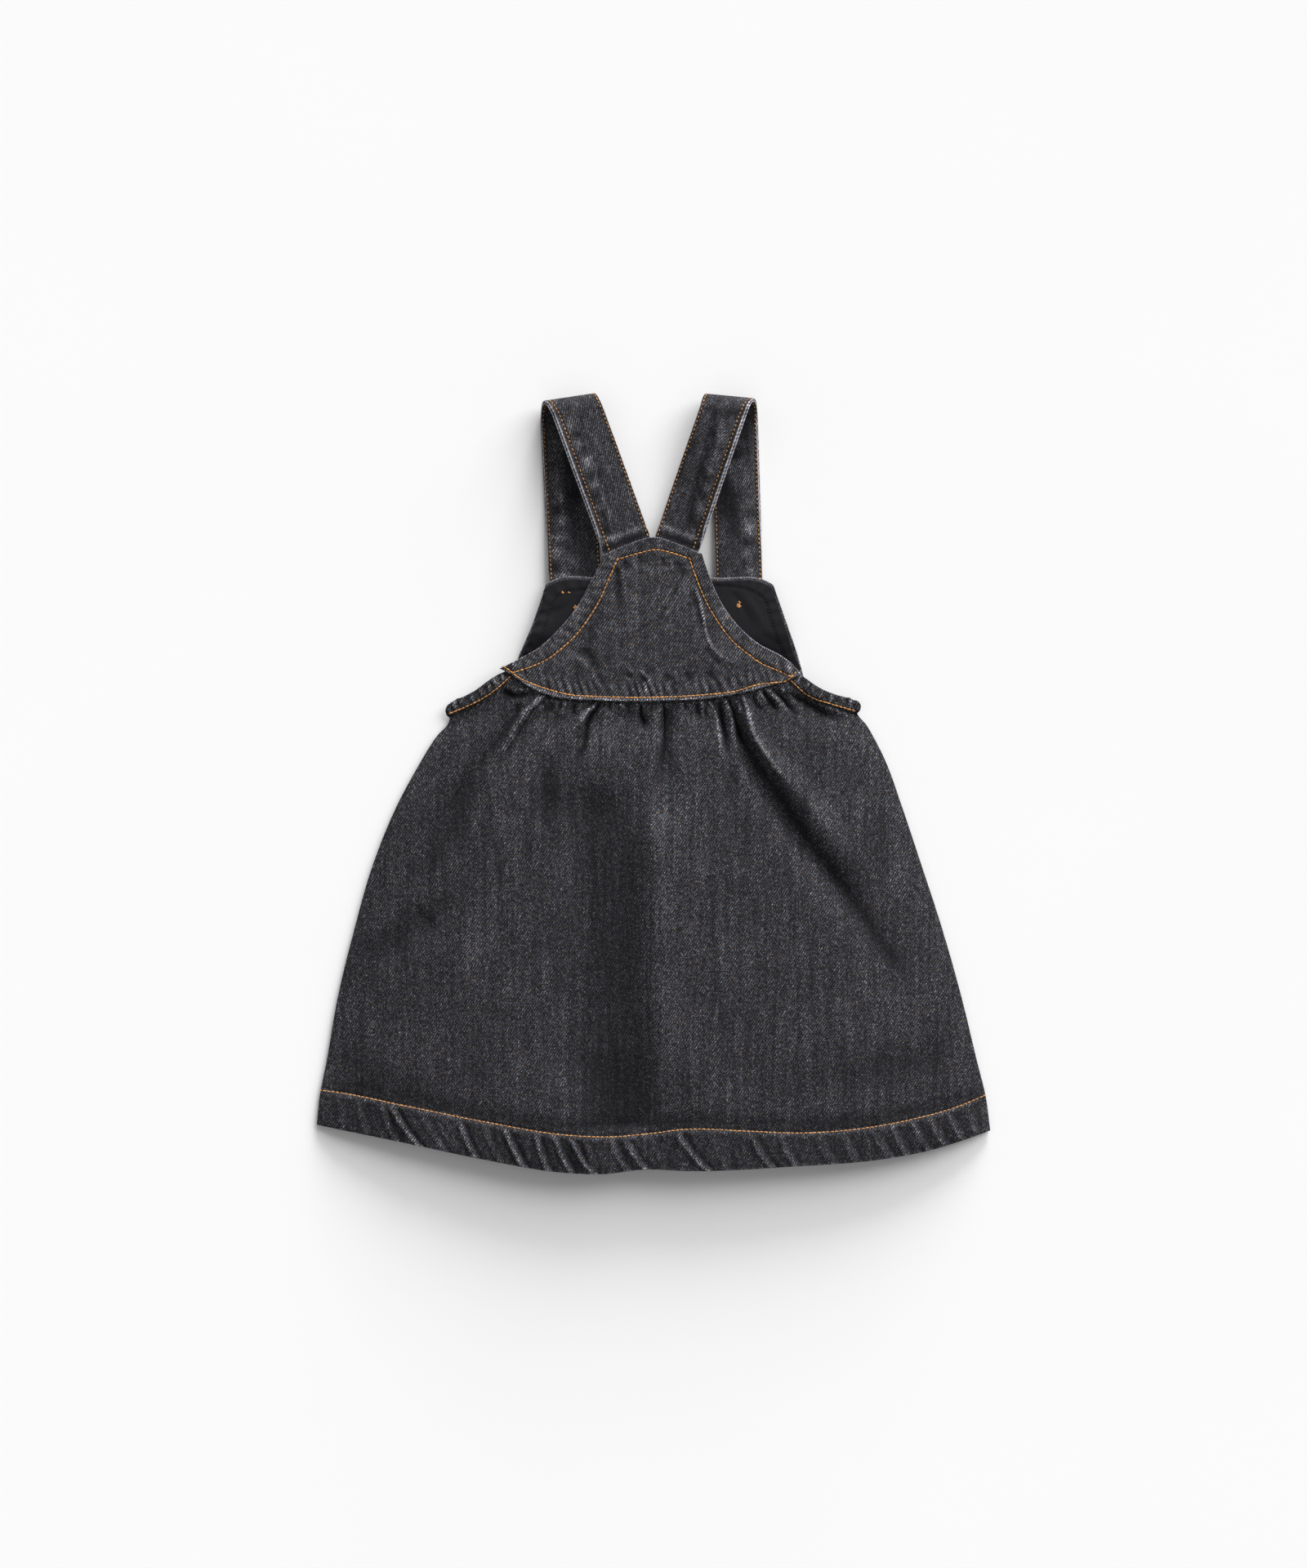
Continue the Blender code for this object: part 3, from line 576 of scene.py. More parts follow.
def plain_weave_group() -> NodeTree:
    """Fine plain weave of a cotton lining.

    Returns:
        The group, which puts out a tone from 0 to 1 and a height.
    """
    group = new_group("plain_weave", {"Grain": "Vector", "Pitch": "Float"},
        {"Tone": "Float", "Height": "Float"})
    board = NodeBoard(group)
    given = board.node("NodeGroupInput").outputs
    split = board.node("ShaderNodeSeparateXYZ", {0: given["Grain"]})
    waves = []
    for axis in ("X", "Y"):
        turn = board.math("MULTIPLY", board.math("DIVIDE", split.outputs[axis], given["Pitch"]), math.pi)
        waves.append(board.math("SINE", turn))
    weave = board.math("MULTIPLY_ADD", board.math("MULTIPLY", *waves), 0.5, 0.5)
    grain = board.noise(given["Grain"], 700.0, 3.0, 0.6)
    cloud = board.noise(given["Grain"], 40.0, 3.0)
    tone = board.math("MULTIPLY_ADD", weave, 0.35, board.math("MULTIPLY", grain, 0.4))
    tone = board.math("MULTIPLY_ADD", cloud, 0.4, tone, clamp=True)
    height = board.math("MULTIPLY_ADD", weave, 0.6, board.math("MULTIPLY", grain, 0.5))
    board.node("NodeGroupOutput", {"Tone": tone, "Height": height})
    return group


class Weaves:
    """Shader groups that more than one material uses, each built once."""

    _made: ClassVar[dict[str, NodeTree]] = {}
    _makers: ClassVar[dict[str, Callable[[], NodeTree]]] = {
        "twill": twill_weave_group,
        "plain": plain_weave_group,
    }

    @classmethod
    def get(cls, name: str) -> NodeTree:
        """The group of that name."""
        if name not in cls._made:
            cls._made[name] = cls._makers[name]()
        return cls._made[name]


def new_material(name: str) -> tuple[Material, NodeBoard, Node]:
    """Make a material with its board and its Principled shader."""
    material = bpy.data.materials.new(name)
    material.use_nodes = True
    return material, NodeBoard(material.node_tree), material.node_tree.nodes["Principled BSDF"]


@dataclass(frozen=True)
class DenimFinish:
    """Washed near-black denim twill."""

    name: str
    dark: Colour = (0.0056, 0.0053, 0.0066)
    light: Colour = (0.56, 0.545, 0.60)
    fleck: float = 0.0345
    twill: float = 1.9
    contrast: float = 1.06
    mottle: float = 0.8
    tint: float = 0.9
    warp_pitch: float = 0.405 * MM
    weft_pitch: float = 0.648 * MM
    relief: float = 0.00022
    sheen: float = 0.02

    def material(self) -> Material:
        """Make the material."""
        material, board, shader = new_material(self.name)
        values = {
            "Grain": board.node("ShaderNodeUVMap", uv_map="grain").outputs["UV"],
            "Wear And Shade": board.mark("wear_and_shade"), "Pale": board.mark("pale"),
            "Warp Pitch": self.warp_pitch, "Weft Pitch": self.weft_pitch, "Fleck": self.fleck,
            "Twill": self.twill, "Contrast": self.contrast, "Mottle": self.mottle, "Tint": self.tint,
            "Dark Yarn": (*self.dark, 1.0), "Light Yarn": (*self.light, 1.0),
        }
        weave = board.node("ShaderNodeGroup", node_tree=Weaves.get("twill"))
        board.fill(weave, values)
        bump = board.bump(0.8, self.relief, weave.outputs["Height"])
        board.fill(shader, {
            "Base Color": weave.outputs["Color"], "Roughness": weave.outputs["Roughness"], "Normal": bump,
            "Specular IOR Level": 0.1, "Sheen Weight": self.sheen, "Sheen Roughness": 0.45,
        })
        return material


@dataclass(frozen=True)
class CottonFinish:
    """Fine black plain-woven cotton."""

    name: str
    dark: Colour = (0.0050, 0.0050, 0.0060)
    light: Colour = (0.0230, 0.0230, 0.0265)
    pitch: float = 0.42 * MM
    relief: float = 0.00010

    def material(self) -> Material:
        """Make the material."""
        material, board, shader = new_material(self.name)
        grain = board.node("ShaderNodeUVMap", uv_map="grain").outputs["UV"]
        weave = board.node("ShaderNodeGroup", node_tree=Weaves.get("plain"))
        board.fill(weave, {"Grain": grain, "Pitch": self.pitch})
        # The lining's wear and its painted light and shade shift the weave's tone.
        tone = board.math("MULTIPLY_ADD", board.mark("wear_and_shade"), 0.5, weave.outputs["Tone"], clamp=True)
        bump = board.bump(0.7, self.relief, weave.outputs["Height"])
        colour = board.blend(tone, (*self.dark, 1.0), (*self.light, 1.0))
        board.fill(shader, {"Base Color": colour, "Normal": bump, "Roughness": 0.9,
                            "Specular IOR Level": 0.1, "Sheen Weight": 0.02})
        return material


@dataclass(frozen=True)
class ThreadFinish:
    """Twisted sewing thread, its tone uneven from stitch to stitch."""

    name: str
    deep: Colour
    bright: Colour
    roughness: float = 0.55
    sheen: float = 0.2

    def material(self) -> Material:
        """Make the material."""
        material, board, shader = new_material(self.name)
        place = board.node("ShaderNodeTexCoord").outputs["Object"]
        patch = board.ramp(board.noise(place, 330.0, 2.0), 0.3, 0.7)
        ply = board.noise(place, 2600.0, 1.0)
        tone = board.math("MULTIPLY_ADD", ply, 0.5, board.math("MULTIPLY", patch, 0.7), clamp=True)
        bump = board.bump(0.6, 0.0001, ply)
        colour = board.blend(tone, (*self.deep, 1.0), (*self.bright, 1.0))
        board.fill(shader, {"Base Color": colour, "Normal": bump, "Roughness": self.roughness,
                            "Sheen Weight": self.sheen})
        return material


@dataclass(frozen=True)
class ButtonFinish:
    """Satin turned resin with a faint cloudy figure."""

    name: str
    dark: Colour = (0.030, 0.024, 0.020)
    light: Colour = (0.105, 0.085, 0.066)

    def material(self) -> Material:
        """Make the material."""
        material, board, shader = new_material(self.name)
        place = board.node("ShaderNodeTexCoord").outputs["Object"]
        figure = board.noise(board.stretched(place, (1.0, 0.45, 1.0)), 320.0, 4.0, 0.6)
        scuff = board.noise(place, 2400.0, 3.0, 0.6)
        tone = board.ramp(figure, 0.35, 0.7)
        rough = board.math("MULTIPLY_ADD", scuff, 0.25, 0.28)
        bump = board.bump(0.25, 0.00005, scuff)
        colour = board.blend(tone, (*self.dark, 1.0), (*self.light, 1.0))
        board.fill(shader, {"Base Color": colour, "Roughness": rough, "Normal": bump,
                            "Coat Weight": 0.25, "Coat Roughness": 0.3})
        return material


@dataclass(frozen=True)
class PaperFinish:
    """Plain pale studio floor."""

    name: str
    colour: Colour = (0.93, 0.93, 0.93)

    def material(self) -> Material:
        """Make the material."""
        material, board, shader = new_material(self.name)
        place = board.node("ShaderNodeTexCoord").outputs["Object"]
        mottle = board.noise(place, 6.0, 3.0)
        shade = tuple(part * 0.985 for part in self.colour)
        colour = board.blend(mottle, (*shade, 1.0), (*self.colour, 1.0))
        board.fill(shader, {"Base Color": colour, "Roughness": 0.95, "Specular IOR Level": 0.1})
        return material


# --------------------------------------------------------------------------
# Skirt
# --------------------------------------------------------------------------

SKIRT_LEFT: tuple[Point2, ...] = (
    (-124.0, 47.0), (-124.4, 43.0), (-125.0, 38.4), (-132.6, 29.0), (-144.3, 10.0), (-155.2, -10.0),
    (-171.8, -50.0),
    (-183.2, -90.0), (-193.0, -130.0), (-200.0, -170.0), (-204.0, -190.0), (-206.0, -208.5),
)
SKIRT_RIGHT: tuple[Point2, ...] = (
    (123.6, 47.5), (124.6, 43.4), (130.2, 36.2), (136.0, 26.0), (143.5, 10.0), (150.6, -10.0), (164.0, -50.0),
    (177.0, -90.0), (188.3, -130.0), (198.0, -170.0), (203.0, -190.0), (206.0, -212.0),
)
SKIRT_BACK_TOP: tuple[Point2, ...] = (
    (-124.0, 47.0), (-116.4, 52.4), (-109.0, 56.8), (-100.7, 62.8), (-94.0, 66.8), (-88.0, 69.4),
    (-80.0, 67.5),
    (-70.0, 61.8), (-58.0, 58.0), (-36.0, 56.0), (2.0, 55.5), (40.5, 58.0), (62.0, 62.0),
    (74.0, 66.3), (84.0, 68.4), (91.0, 65.0), (101.0, 58.8), (112.0, 54.2), (118.5, 51.4),
    (123.6, 47.5),
)
SKIRT_BACK_HEM: tuple[Point2, ...] = (
    (-206.0, -208.5), (-155.0, -218.5), (-105.0, -228.8), (-55.0, -237.0), (-30.0, -237.8),
    (-5.0, -235.0), (20.0, -236.0), (82.0, -233.5), (145.0, -228.3),
    (170.0, -223.5), (193.0, -216.5), (206.0, -212.0),
)
HEM_SEAM: tuple[Point2, ...] = (
    (-203.6, -187.5), (-192.5, -188.8), (-152.5, -196.5), (-102.5, -206.3), (-52.5, -214.3), (-27.5, -215.3),
    (-2.5, -213.3), (17.5, -210.8), (57.5, -211.8), (87.5, -213.0), (127.5, -210.3),
    (157.5, -205.0), (187.5, -196.8), (202.6, -190.6),
)

# Folds that the solid of the back skirt has too, all on the solid's lines but
# the one that ends at (114, 37), which lies some millimetres further in.
# Troughs are darkened as painted shade; ridges are lightened as worn crests
# and partly as painted highlight.
MAIN_FOLDS: tuple[Fold, ...] = (
    Fold(-2.6, 3.0, 9.0, ((-81.0, 52.0), (-84.5, 41.0), (-99.0, 16.5), (-113.5, 0.0), (-149.0, -62.0)),
         wear_and_shade=-0.35),
    Fold(2.4, 2.6, 5.0, ((-66.0, 54.0), (-94.5, 18.5), (-112.0, -8.0)), wear_and_shade=0.25),
    Fold(-1.9, 2.6, 5.0, ((-61.0, 52.0), (-87.0, 22.0), (-100.0, 0.0)), wear_and_shade=-0.2),
    Fold(1.3, 2.2, 3.0, ((-56.0, 52.0), (-58.0, 38.0)), wear_and_shade=0.15),
    Fold(1.6, 2.4, 4.0, ((-38.5, 49.0), (-48.0, 34.0), (-55.0, 14.0)), wear_and_shade=0.15),
    Fold(-2.3, 2.4, 4.0, ((-34.0, 51.0), (-41.0, 37.0), (-48.0, 11.0)), wear_and_shade=-0.3),
    Fold(1.4, 2.4, 4.5, ((-25.0, 50.0), (-29.0, 30.0), (-31.0, 5.0)), wear_and_shade=0.1),
    Fold(-1.2, 2.2, 3.5, ((-18.0, 50.0), (-19.0, 34.0))),
    Fold(-1.8, 2.4, 3.5, ((-8.0, 50.0), (-6.0, 32.0)), wear_and_shade=-0.3),
    Fold(1.7, 2.4, 5.0, ((0.5, 50.0), (-1.0, 28.0), (-6.0, -4.0)), wear_and_shade=0.15),
    Fold(-2.2, 2.6, 7.0, ((7.0, 50.0), (6.5, 30.0), (2.0, -4.0)), wear_and_shade=-0.3),
    Fold(1.3, 2.4, 4.0, ((16.5, 50.0), (17.0, 30.0)), wear_and_shade=0.1),
    Fold(-1.7, 2.8, 4.0, ((26.0, 50.0), (27.0, 36.0)), wear_and_shade=-0.15),
    Fold(1.5, 2.2, 5.0, ((32.5, 51.5), (37.5, 34.0), (43.0, 8.0)), wear_and_shade=0.1),
    Fold(-2.0, 2.2, 4.0, ((37.5, 51.5), (42.0, 32.0), (47.0, 12.0)), wear_and_shade=-0.4),
    Fold(1.8, 2.0, 4.0, ((43.0, 53.0), (47.0, 36.0), (53.0, 14.0)), wear_and_shade=0.1),
    Fold(-5.2, 3.2, 13.0,
         ((48.5, 52.0), (50.5, 32.0), (63.0, 5.0), (84.0, -27.0), (116.0, -69.0), (152.0, -117.0)),
         wear_and_shade=-0.2),
    Fold(3.6, 2.6, 11.0, ((56.0, 54.0), (59.5, 32.0), (76.0, 9.0), (106.0, -29.0), (134.0, -66.0))),
    Fold(-1.6, 2.2, 3.0, ((65.0, 57.0), (75.5, 43.0)), wear_and_shade=-0.3),
    Fold(1.2, 2.0, 3.0, ((70.0, 58.0), (80.0, 42.0)), wear_and_shade=0.15),
    Fold(-1.6, 2.2, 3.0, ((74.5, 59.0), (86.0, 41.0)), wear_and_shade=-0.3),
    Fold(-2.0, 3.0, 5.0, ((84.0, 54.0), (98.0, 46.0), (114.0, 37.0)), wear_and_shade=-0.2),
    Fold(-1.8, 3.0, 4.0, ((-93.0, 58.0), (-85.0, 50.0)), wear_and_shade=-0.6),
    Fold(-1.8, 5.0, 6.0, ((-64.0, 24.0), (-65.0, 2.0), (-67.5, -34.0)), 0.4, 0.5, wear_and_shade=-0.3),
    Fold(-3.2, 14.0, 24.0, ((-40.0, 15.0), (-48.0, -80.0), (-46.0, -236.0))),
    Fold(2.6, 12.0, 24.0, ((4.0, -10.0), (6.0, -90.0), (8.0, -236.0))),
    Fold(-1.8, 8.0, 12.0, ((-136.0, -78.0), (-172.0, -108.0)), wear_and_shade=-0.2),
)

# Finer gathers under the yoke's seam, and creases and broad painted shade further down.
# Troughs are darkened as painted shade; ridges are lightened as worn crests and partly as painted highlight.
FINE_FOLDS: tuple[Fold, ...] = (
    Fold(1.2, 1.0, 2.4, ((-65.5, 55.5), (-72.0, 50.0), (-79.5, 42.0), (-84.5, 33.0), (-90.5, 23.0),
                         (-98.5, 14.0), (-108.0, 5.0)), 0.03, wear_and_shade=0.45),
    Fold(-1.0, 1.0, 1.8, ((-66.0, 51.0), (-74.0, 44.5), (-80.0, 36.0), (-86.0, 26.0), (-89.0, 19.0)), 0.05,
         wear_and_shade=-0.6),
    Fold(-0.9, 2.4, 3.0, ((-83.0, 50.0), (-86.0, 38.0), (-96.0, 20.0), (-106.0, 8.0)), 0.05, wear_and_shade=-0.35),
    Fold(-1.0, 1.3, 2.0, ((-76.0, 55.0), (-84.0, 54.0), (-93.0, 58.0)), 0.05, 0.2, wear_and_shade=-0.9),
    Fold(0.8, 0.8, 1.2, ((-77.0, 57.5), (-84.0, 57.0), (-88.0, 55.0)), wear_and_shade=0.4),
    Fold(-0.9, 1.0, 1.4, ((-61.5, 50.5), (-64.0, 42.0)), wear_and_shade=-0.4),
    Fold(0.6, 0.8, 1.0, ((-58.5, 51.5), (-60.5, 45.0)), wear_and_shade=0.3),
    Fold(-0.6, 0.9, 1.2, ((-56.5, 50.0), (-58.0, 43.0)), wear_and_shade=-0.3),
    Fold(0.6, 0.8, 1.2, ((-53.5, 52.5), (-55.0, 46.0)), 0.02, wear_and_shade=0.6),
    Fold(-0.9, 1.1, 1.4, ((-47.5, 49.5), (-49.5, 40.5)), wear_and_shade=-0.5),
    Fold(0.6, 0.9, 1.2, ((-44.5, 50.0), (-47.5, 43.0)), wear_and_shade=0.25),
    Fold(1.2, 0.8, 1.4, ((-36.0, 47.5), (-40.5, 44.3), (-43.5, 39.0), (-47.0, 34.0)), 0.02, wear_and_shade=0.8),
    Fold(-1.4, 1.3, 2.2, ((-32.0, 49.5), (-37.0, 44.0), (-40.0, 38.0), (-41.0, 30.0), (-42.5, 23.0),
                          (-46.5, 15.0), (-50.0, 9.0)), 0.03, 0.3, wear_and_shade=-0.7),
    Fold(-0.4, 2.4, 3.0, ((-44.0, 34.0), (-46.0, 24.0)), 0.3, wear_and_shade=-0.35),
    Fold(0.5, 0.8, 1.0, ((-30.5, 47.0), (-33.0, 43.0)), wear_and_shade=0.35),
    Fold(-0.6, 0.9, 1.0, ((-26.0, 50.0), (-27.0, 45.0)), wear_and_shade=-0.3),
    Fold(0.7, 0.8, 1.2, ((-19.0, 50.5), (-20.5, 44.0)), 0.02, wear_and_shade=0.4),
    Fold(-0.6, 0.9, 1.2, ((-15.5, 50.0), (-16.0, 43.0)), wear_and_shade=-0.25),
    Fold(0.8, 0.7, 1.0, ((-10.2, 50.5), (-9.6, 40.0)), 0.02, wear_and_shade=0.5),
    Fold(-1.3, 1.1, 2.2, ((-7.5, 48.5), (-8.5, 43.0), (-6.0, 38.0), (-7.0, 32.0)), 0.05, 0.3, wear_and_shade=-0.8),
    Fold(0.9, 1.6, 3.4, ((2.8, 50.0), (3.0, 38.0), (2.0, 26.0), (0.5, 14.0), (-3.0, 0.0), (-7.0, -20.0)),
         0.03,
         wear_and_shade=0.3),
    Fold(-1.1, 0.9, 1.8, ((6.2, 50.0), (6.4, 38.0), (6.2, 26.0), (4.6, 12.0), (2.0, -2.0)), 0.03, wear_and_shade=-0.6),
    Fold(-0.5, 2.2, 4.5, ((9.0, 48.0), (9.0, 24.0), (12.0, -6.0)), wear_and_shade=-0.3),
    Fold(0.6, 0.8, 1.0, ((16.8, 49.5), (17.5, 45.0)), wear_and_shade=0.4),
    Fold(-0.7, 0.8, 1.0, ((20.0, 50.0), (19.3, 45.0)), wear_and_shade=-0.5),
    Fold(-0.8, 1.2, 1.5, ((25.5, 49.5), (27.0, 42.0)), wear_and_shade=-0.4),
    Fold(0.5, 0.8, 1.0, ((29.0, 50.5), (31.0, 44.0)), wear_and_shade=0.3),
    Fold(-0.7, 1.0, 1.4, ((30.5, 47.0), (33.5, 40.0)), wear_and_shade=-0.35),
    Fold(0.9, 0.7, 1.0, ((33.5, 50.8), (37.0, 44.5), (39.0, 36.0), (41.0, 21.0), (43.5, 9.0)), 0.03,
         wear_and_shade=0.45),
    Fold(-1.2, 1.8, 1.6, ((40.0, 51.0), (41.0, 44.0), (42.5, 34.0), (44.0, 24.0), (46.0, 12.0)), 0.03,
         wear_and_shade=-0.55),
    Fold(0.8, 0.7, 1.0, ((43.0, 52.5), (46.0, 45.0), (47.6, 38.0), (49.2, 28.0), (50.5, 15.0)), 0.03,
         wear_and_shade=0.45),
    Fold(-1.2, 1.0, 1.8, ((45.6, 52.0), (47.6, 46.0), (49.6, 39.0), (51.5, 31.0), (54.5, 22.0)), 0.02, 0.3,
         wear_and_shade=-0.8),
    Fold(-0.6, 1.8, 5.0,
         ((50.5, 38.0), (57.5, 22.0), (67.0, 7.0), (80.0, -11.0), (99.0, -39.0), (124.0, -75.0),
                          (154.0, -122.0)), 0.05, 0.12, wear_and_shade=-0.95),
    Fold(0.7, 0.8, 1.0, ((49.5, 52.0), (52.5, 46.0), (54.5, 41.0)), 0.05, wear_and_shade=0.35),
    Fold(1.3, 0.8, 1.6, ((54.0, 54.5), (57.0, 46.0), (59.0, 38.0), (61.2, 30.0), (66.0, 22.0), (71.5, 14.0),
                         (77.5, 6.0), (86.0, -4.0)), 0.02, 0.4, wear_and_shade=0.7),
    Fold(-0.9, 1.2, 2.0, ((60.0, 54.0), (62.5, 49.0), (68.0, 42.0)), 0.05, wear_and_shade=-0.35),
    Fold(0.8, 0.7, 0.9, ((64.0, 57.5), (68.0, 51.0), (70.5, 47.5)), 0.02, wear_and_shade=0.6),
    Fold(-1.0, 0.9, 1.6, ((67.0, 56.5), (72.0, 50.0), (77.0, 43.0)), 0.02, wear_and_shade=-0.7),
    Fold(0.9, 0.8, 1.1, ((68.5, 58.5), (74.5, 52.5), (80.0, 46.5), (83.0, 41.0)), 0.02, wear_and_shade=0.5),
    Fold(-0.9, 1.0, 1.8, ((72.5, 58.0), (79.0, 51.5), (84.0, 45.5), (90.0, 41.0)), 0.02, wear_and_shade=-0.5),
    Fold(0.8, 0.9, 1.3, ((77.0, 58.8), (84.0, 53.0), (89.0, 47.5)), 0.05, wear_and_shade=0.35),
    Fold(-1.4, 1.5, 2.2, ((79.0, 56.0), (92.0, 50.5), (102.0, 44.0), (115.0, 37.0)), 0.03, 0.4, wear_and_shade=-0.5),
    Fold(0.8, 1.2, 1.6, ((100.0, 49.5), (110.0, 45.5), (120.0, 40.5), (128.0, 35.5)), wear_and_shade=0.2),
    Fold(0.9, 3.0, 5.0, ((-84.0, -4.0), (-76.0, -22.0), (-70.0, -50.0)), wear_and_shade=0.1),
    Fold(-1.0, 3.6, 6.0, ((-66.0, 32.0), (-68.0, 4.0), (-63.0, -30.0), (-52.0, -64.0)), 0.4, 0.5, wear_and_shade=-0.5),
    Fold(-1.0, 5.0, 9.0, ((-108.0, 4.0), (-118.0, -20.0), (-134.0, -46.0), (-150.0, -66.0)), 0.1, 0.2,
         wear_and_shade=-0.5),
    Fold(-0.8, 8.0, 9.0, ((-146.0, -92.0), (-164.0, -101.0), (-182.0, -110.0)), 0.4, 0.35, wear_and_shade=-0.5),
    Fold(-0.7, 7.0, 8.0, ((-122.0, -62.0), (-140.0, -88.0), (-150.0, -104.0)), 0.45, 0.5, wear_and_shade=-0.34),
    Fold(-1.4, 13.0, 20.0, ((-40.0, 28.0), (-36.0, -30.0), (-33.0, -130.0), (-30.0, -212.0)), 0.32, 0.02,
         wear_and_shade=-0.44),
    Fold(-1.0, 7.0, 12.0, ((-20.0, 24.0), (-17.0, -40.0), (-16.0, -130.0), (-10.0, -212.0)), 0.3, 0.02,
         wear_and_shade=-0.52),
    Fold(-0.6, 9.0, 9.0, ((-74.0, -6.0), (-50.0, -14.0), (-18.0, -18.0)), 0.35, 0.3, wear_and_shade=-0.32),
    Fold(-0.4, 14.0, 16.0, ((-30.0, -140.0), (-24.0, -212.0)), 0.6, 0.02, wear_and_shade=-0.32),
    Fold(1.4, 6.0, 8.0, ((1.0, -6.0), (2.0, -60.0), (3.0, -130.0), (8.0, -190.0)), 0.1, 0.3, wear_and_shade=0.18),
    Fold(-0.6, 16.0, 22.0, ((-46.0, -176.0), (-10.0, -190.0), (-2.0, -206.0)), 0.4, 0.1, wear_and_shade=-0.25),
    Fold(0.8, 10.0, 14.0, ((18.0, 20.0), (24.0, -30.0), (26.0, -100.0)), wear_and_shade=0.12),
    Fold(-1.1, 5.0, 8.0, ((46.0, 10.0), (49.0, -20.0), (50.0, -60.0)), wear_and_shade=-0.2),
    Fold(-0.6, 9.0, 12.0, ((90.0, -184.0), (130.0, -176.0), (180.0, -164.0)), 0.3, 0.1, wear_and_shade=-0.35),
    Fold(-0.5, 8.0, 10.0, ((-196.0, -170.0), (-160.0, -182.0), (-120.0, -190.0)), 0.05, 0.4, wear_and_shade=-0.35),
    Fold(0.8, 8.0, 12.0, ((112.0, -130.0), (122.0, -170.0), (128.0, -200.0)), wear_and_shade=0.1),
    Fold(-0.8, 6.0, 10.0, ((-100.0, -110.0), (-106.0, -160.0), (-108.0, -196.0)), wear_and_shade=-0.1),
)

# Ridges of the hem: where each starts on the seam line and ends on the lower
# edge, with its height, half width and wear, which also sets the painted
# shade on the ridge's lee side.
HEM_RIDGES: tuple[tuple[float, float, float, float, float], ...] = (
    (-194.0, -189.0, 0.5, 2.2, 0.1), (-181.0, -176.0, 0.8, 1.8, 0.35), (-166.5, -158.0, 0.8, 1.6, 0.35),
    (-160.5, -144.0, 1.5, 1.9, 0.75), (-143.0, -127.0, 0.5, 1.8, 0.2), (-119.0, -109.0, 1.3, 1.7, 0.7),
    (-105.0, -93.5, 0.6, 2.0, 0.15), (-91.0, -79.5, 1.6, 1.9, 0.8), (-72.0, -65.0, 1.4, 1.7, 0.75),
    (-60.5, -50.5, 1.4, 1.8, 0.7), (-50.5, -37.5, 1.4, 1.7, 0.7), (-42.0, -35.0, 0.7, 1.4, 0.3),
    (-26.0, -16.5, 1.0, 1.7, 0.5), (-18.0, -5.5, 1.1, 1.8, 0.5), (-2.0, 6.0, 0.5, 2.0, 0.1),
    (13.5, 33.0, 1.2, 2.0, 0.6), (37.0, 44.0, 0.4, 2.2, 0.1), (59.0, 71.5, 1.1, 1.9, 0.5),
    (76.5, 86.0, 0.8, 2.0, 0.3), (100.0, 109.0, 0.7, 2.2, 0.25), (115.0, 123.0, 0.8, 2.0, 0.3),
    (133.0, 144.0, 0.7, 1.8, 0.25), (145.5, 154.0, 1.0, 2.0, 0.45), (157.5, 167.5, 0.9, 1.7, 0.35),
    (168.0, 178.0, 0.9, 1.9, 0.4), (180.0, 188.0, 0.9, 1.8, 0.35), (191.0, 197.5, 0.7, 1.7, 0.3),
)


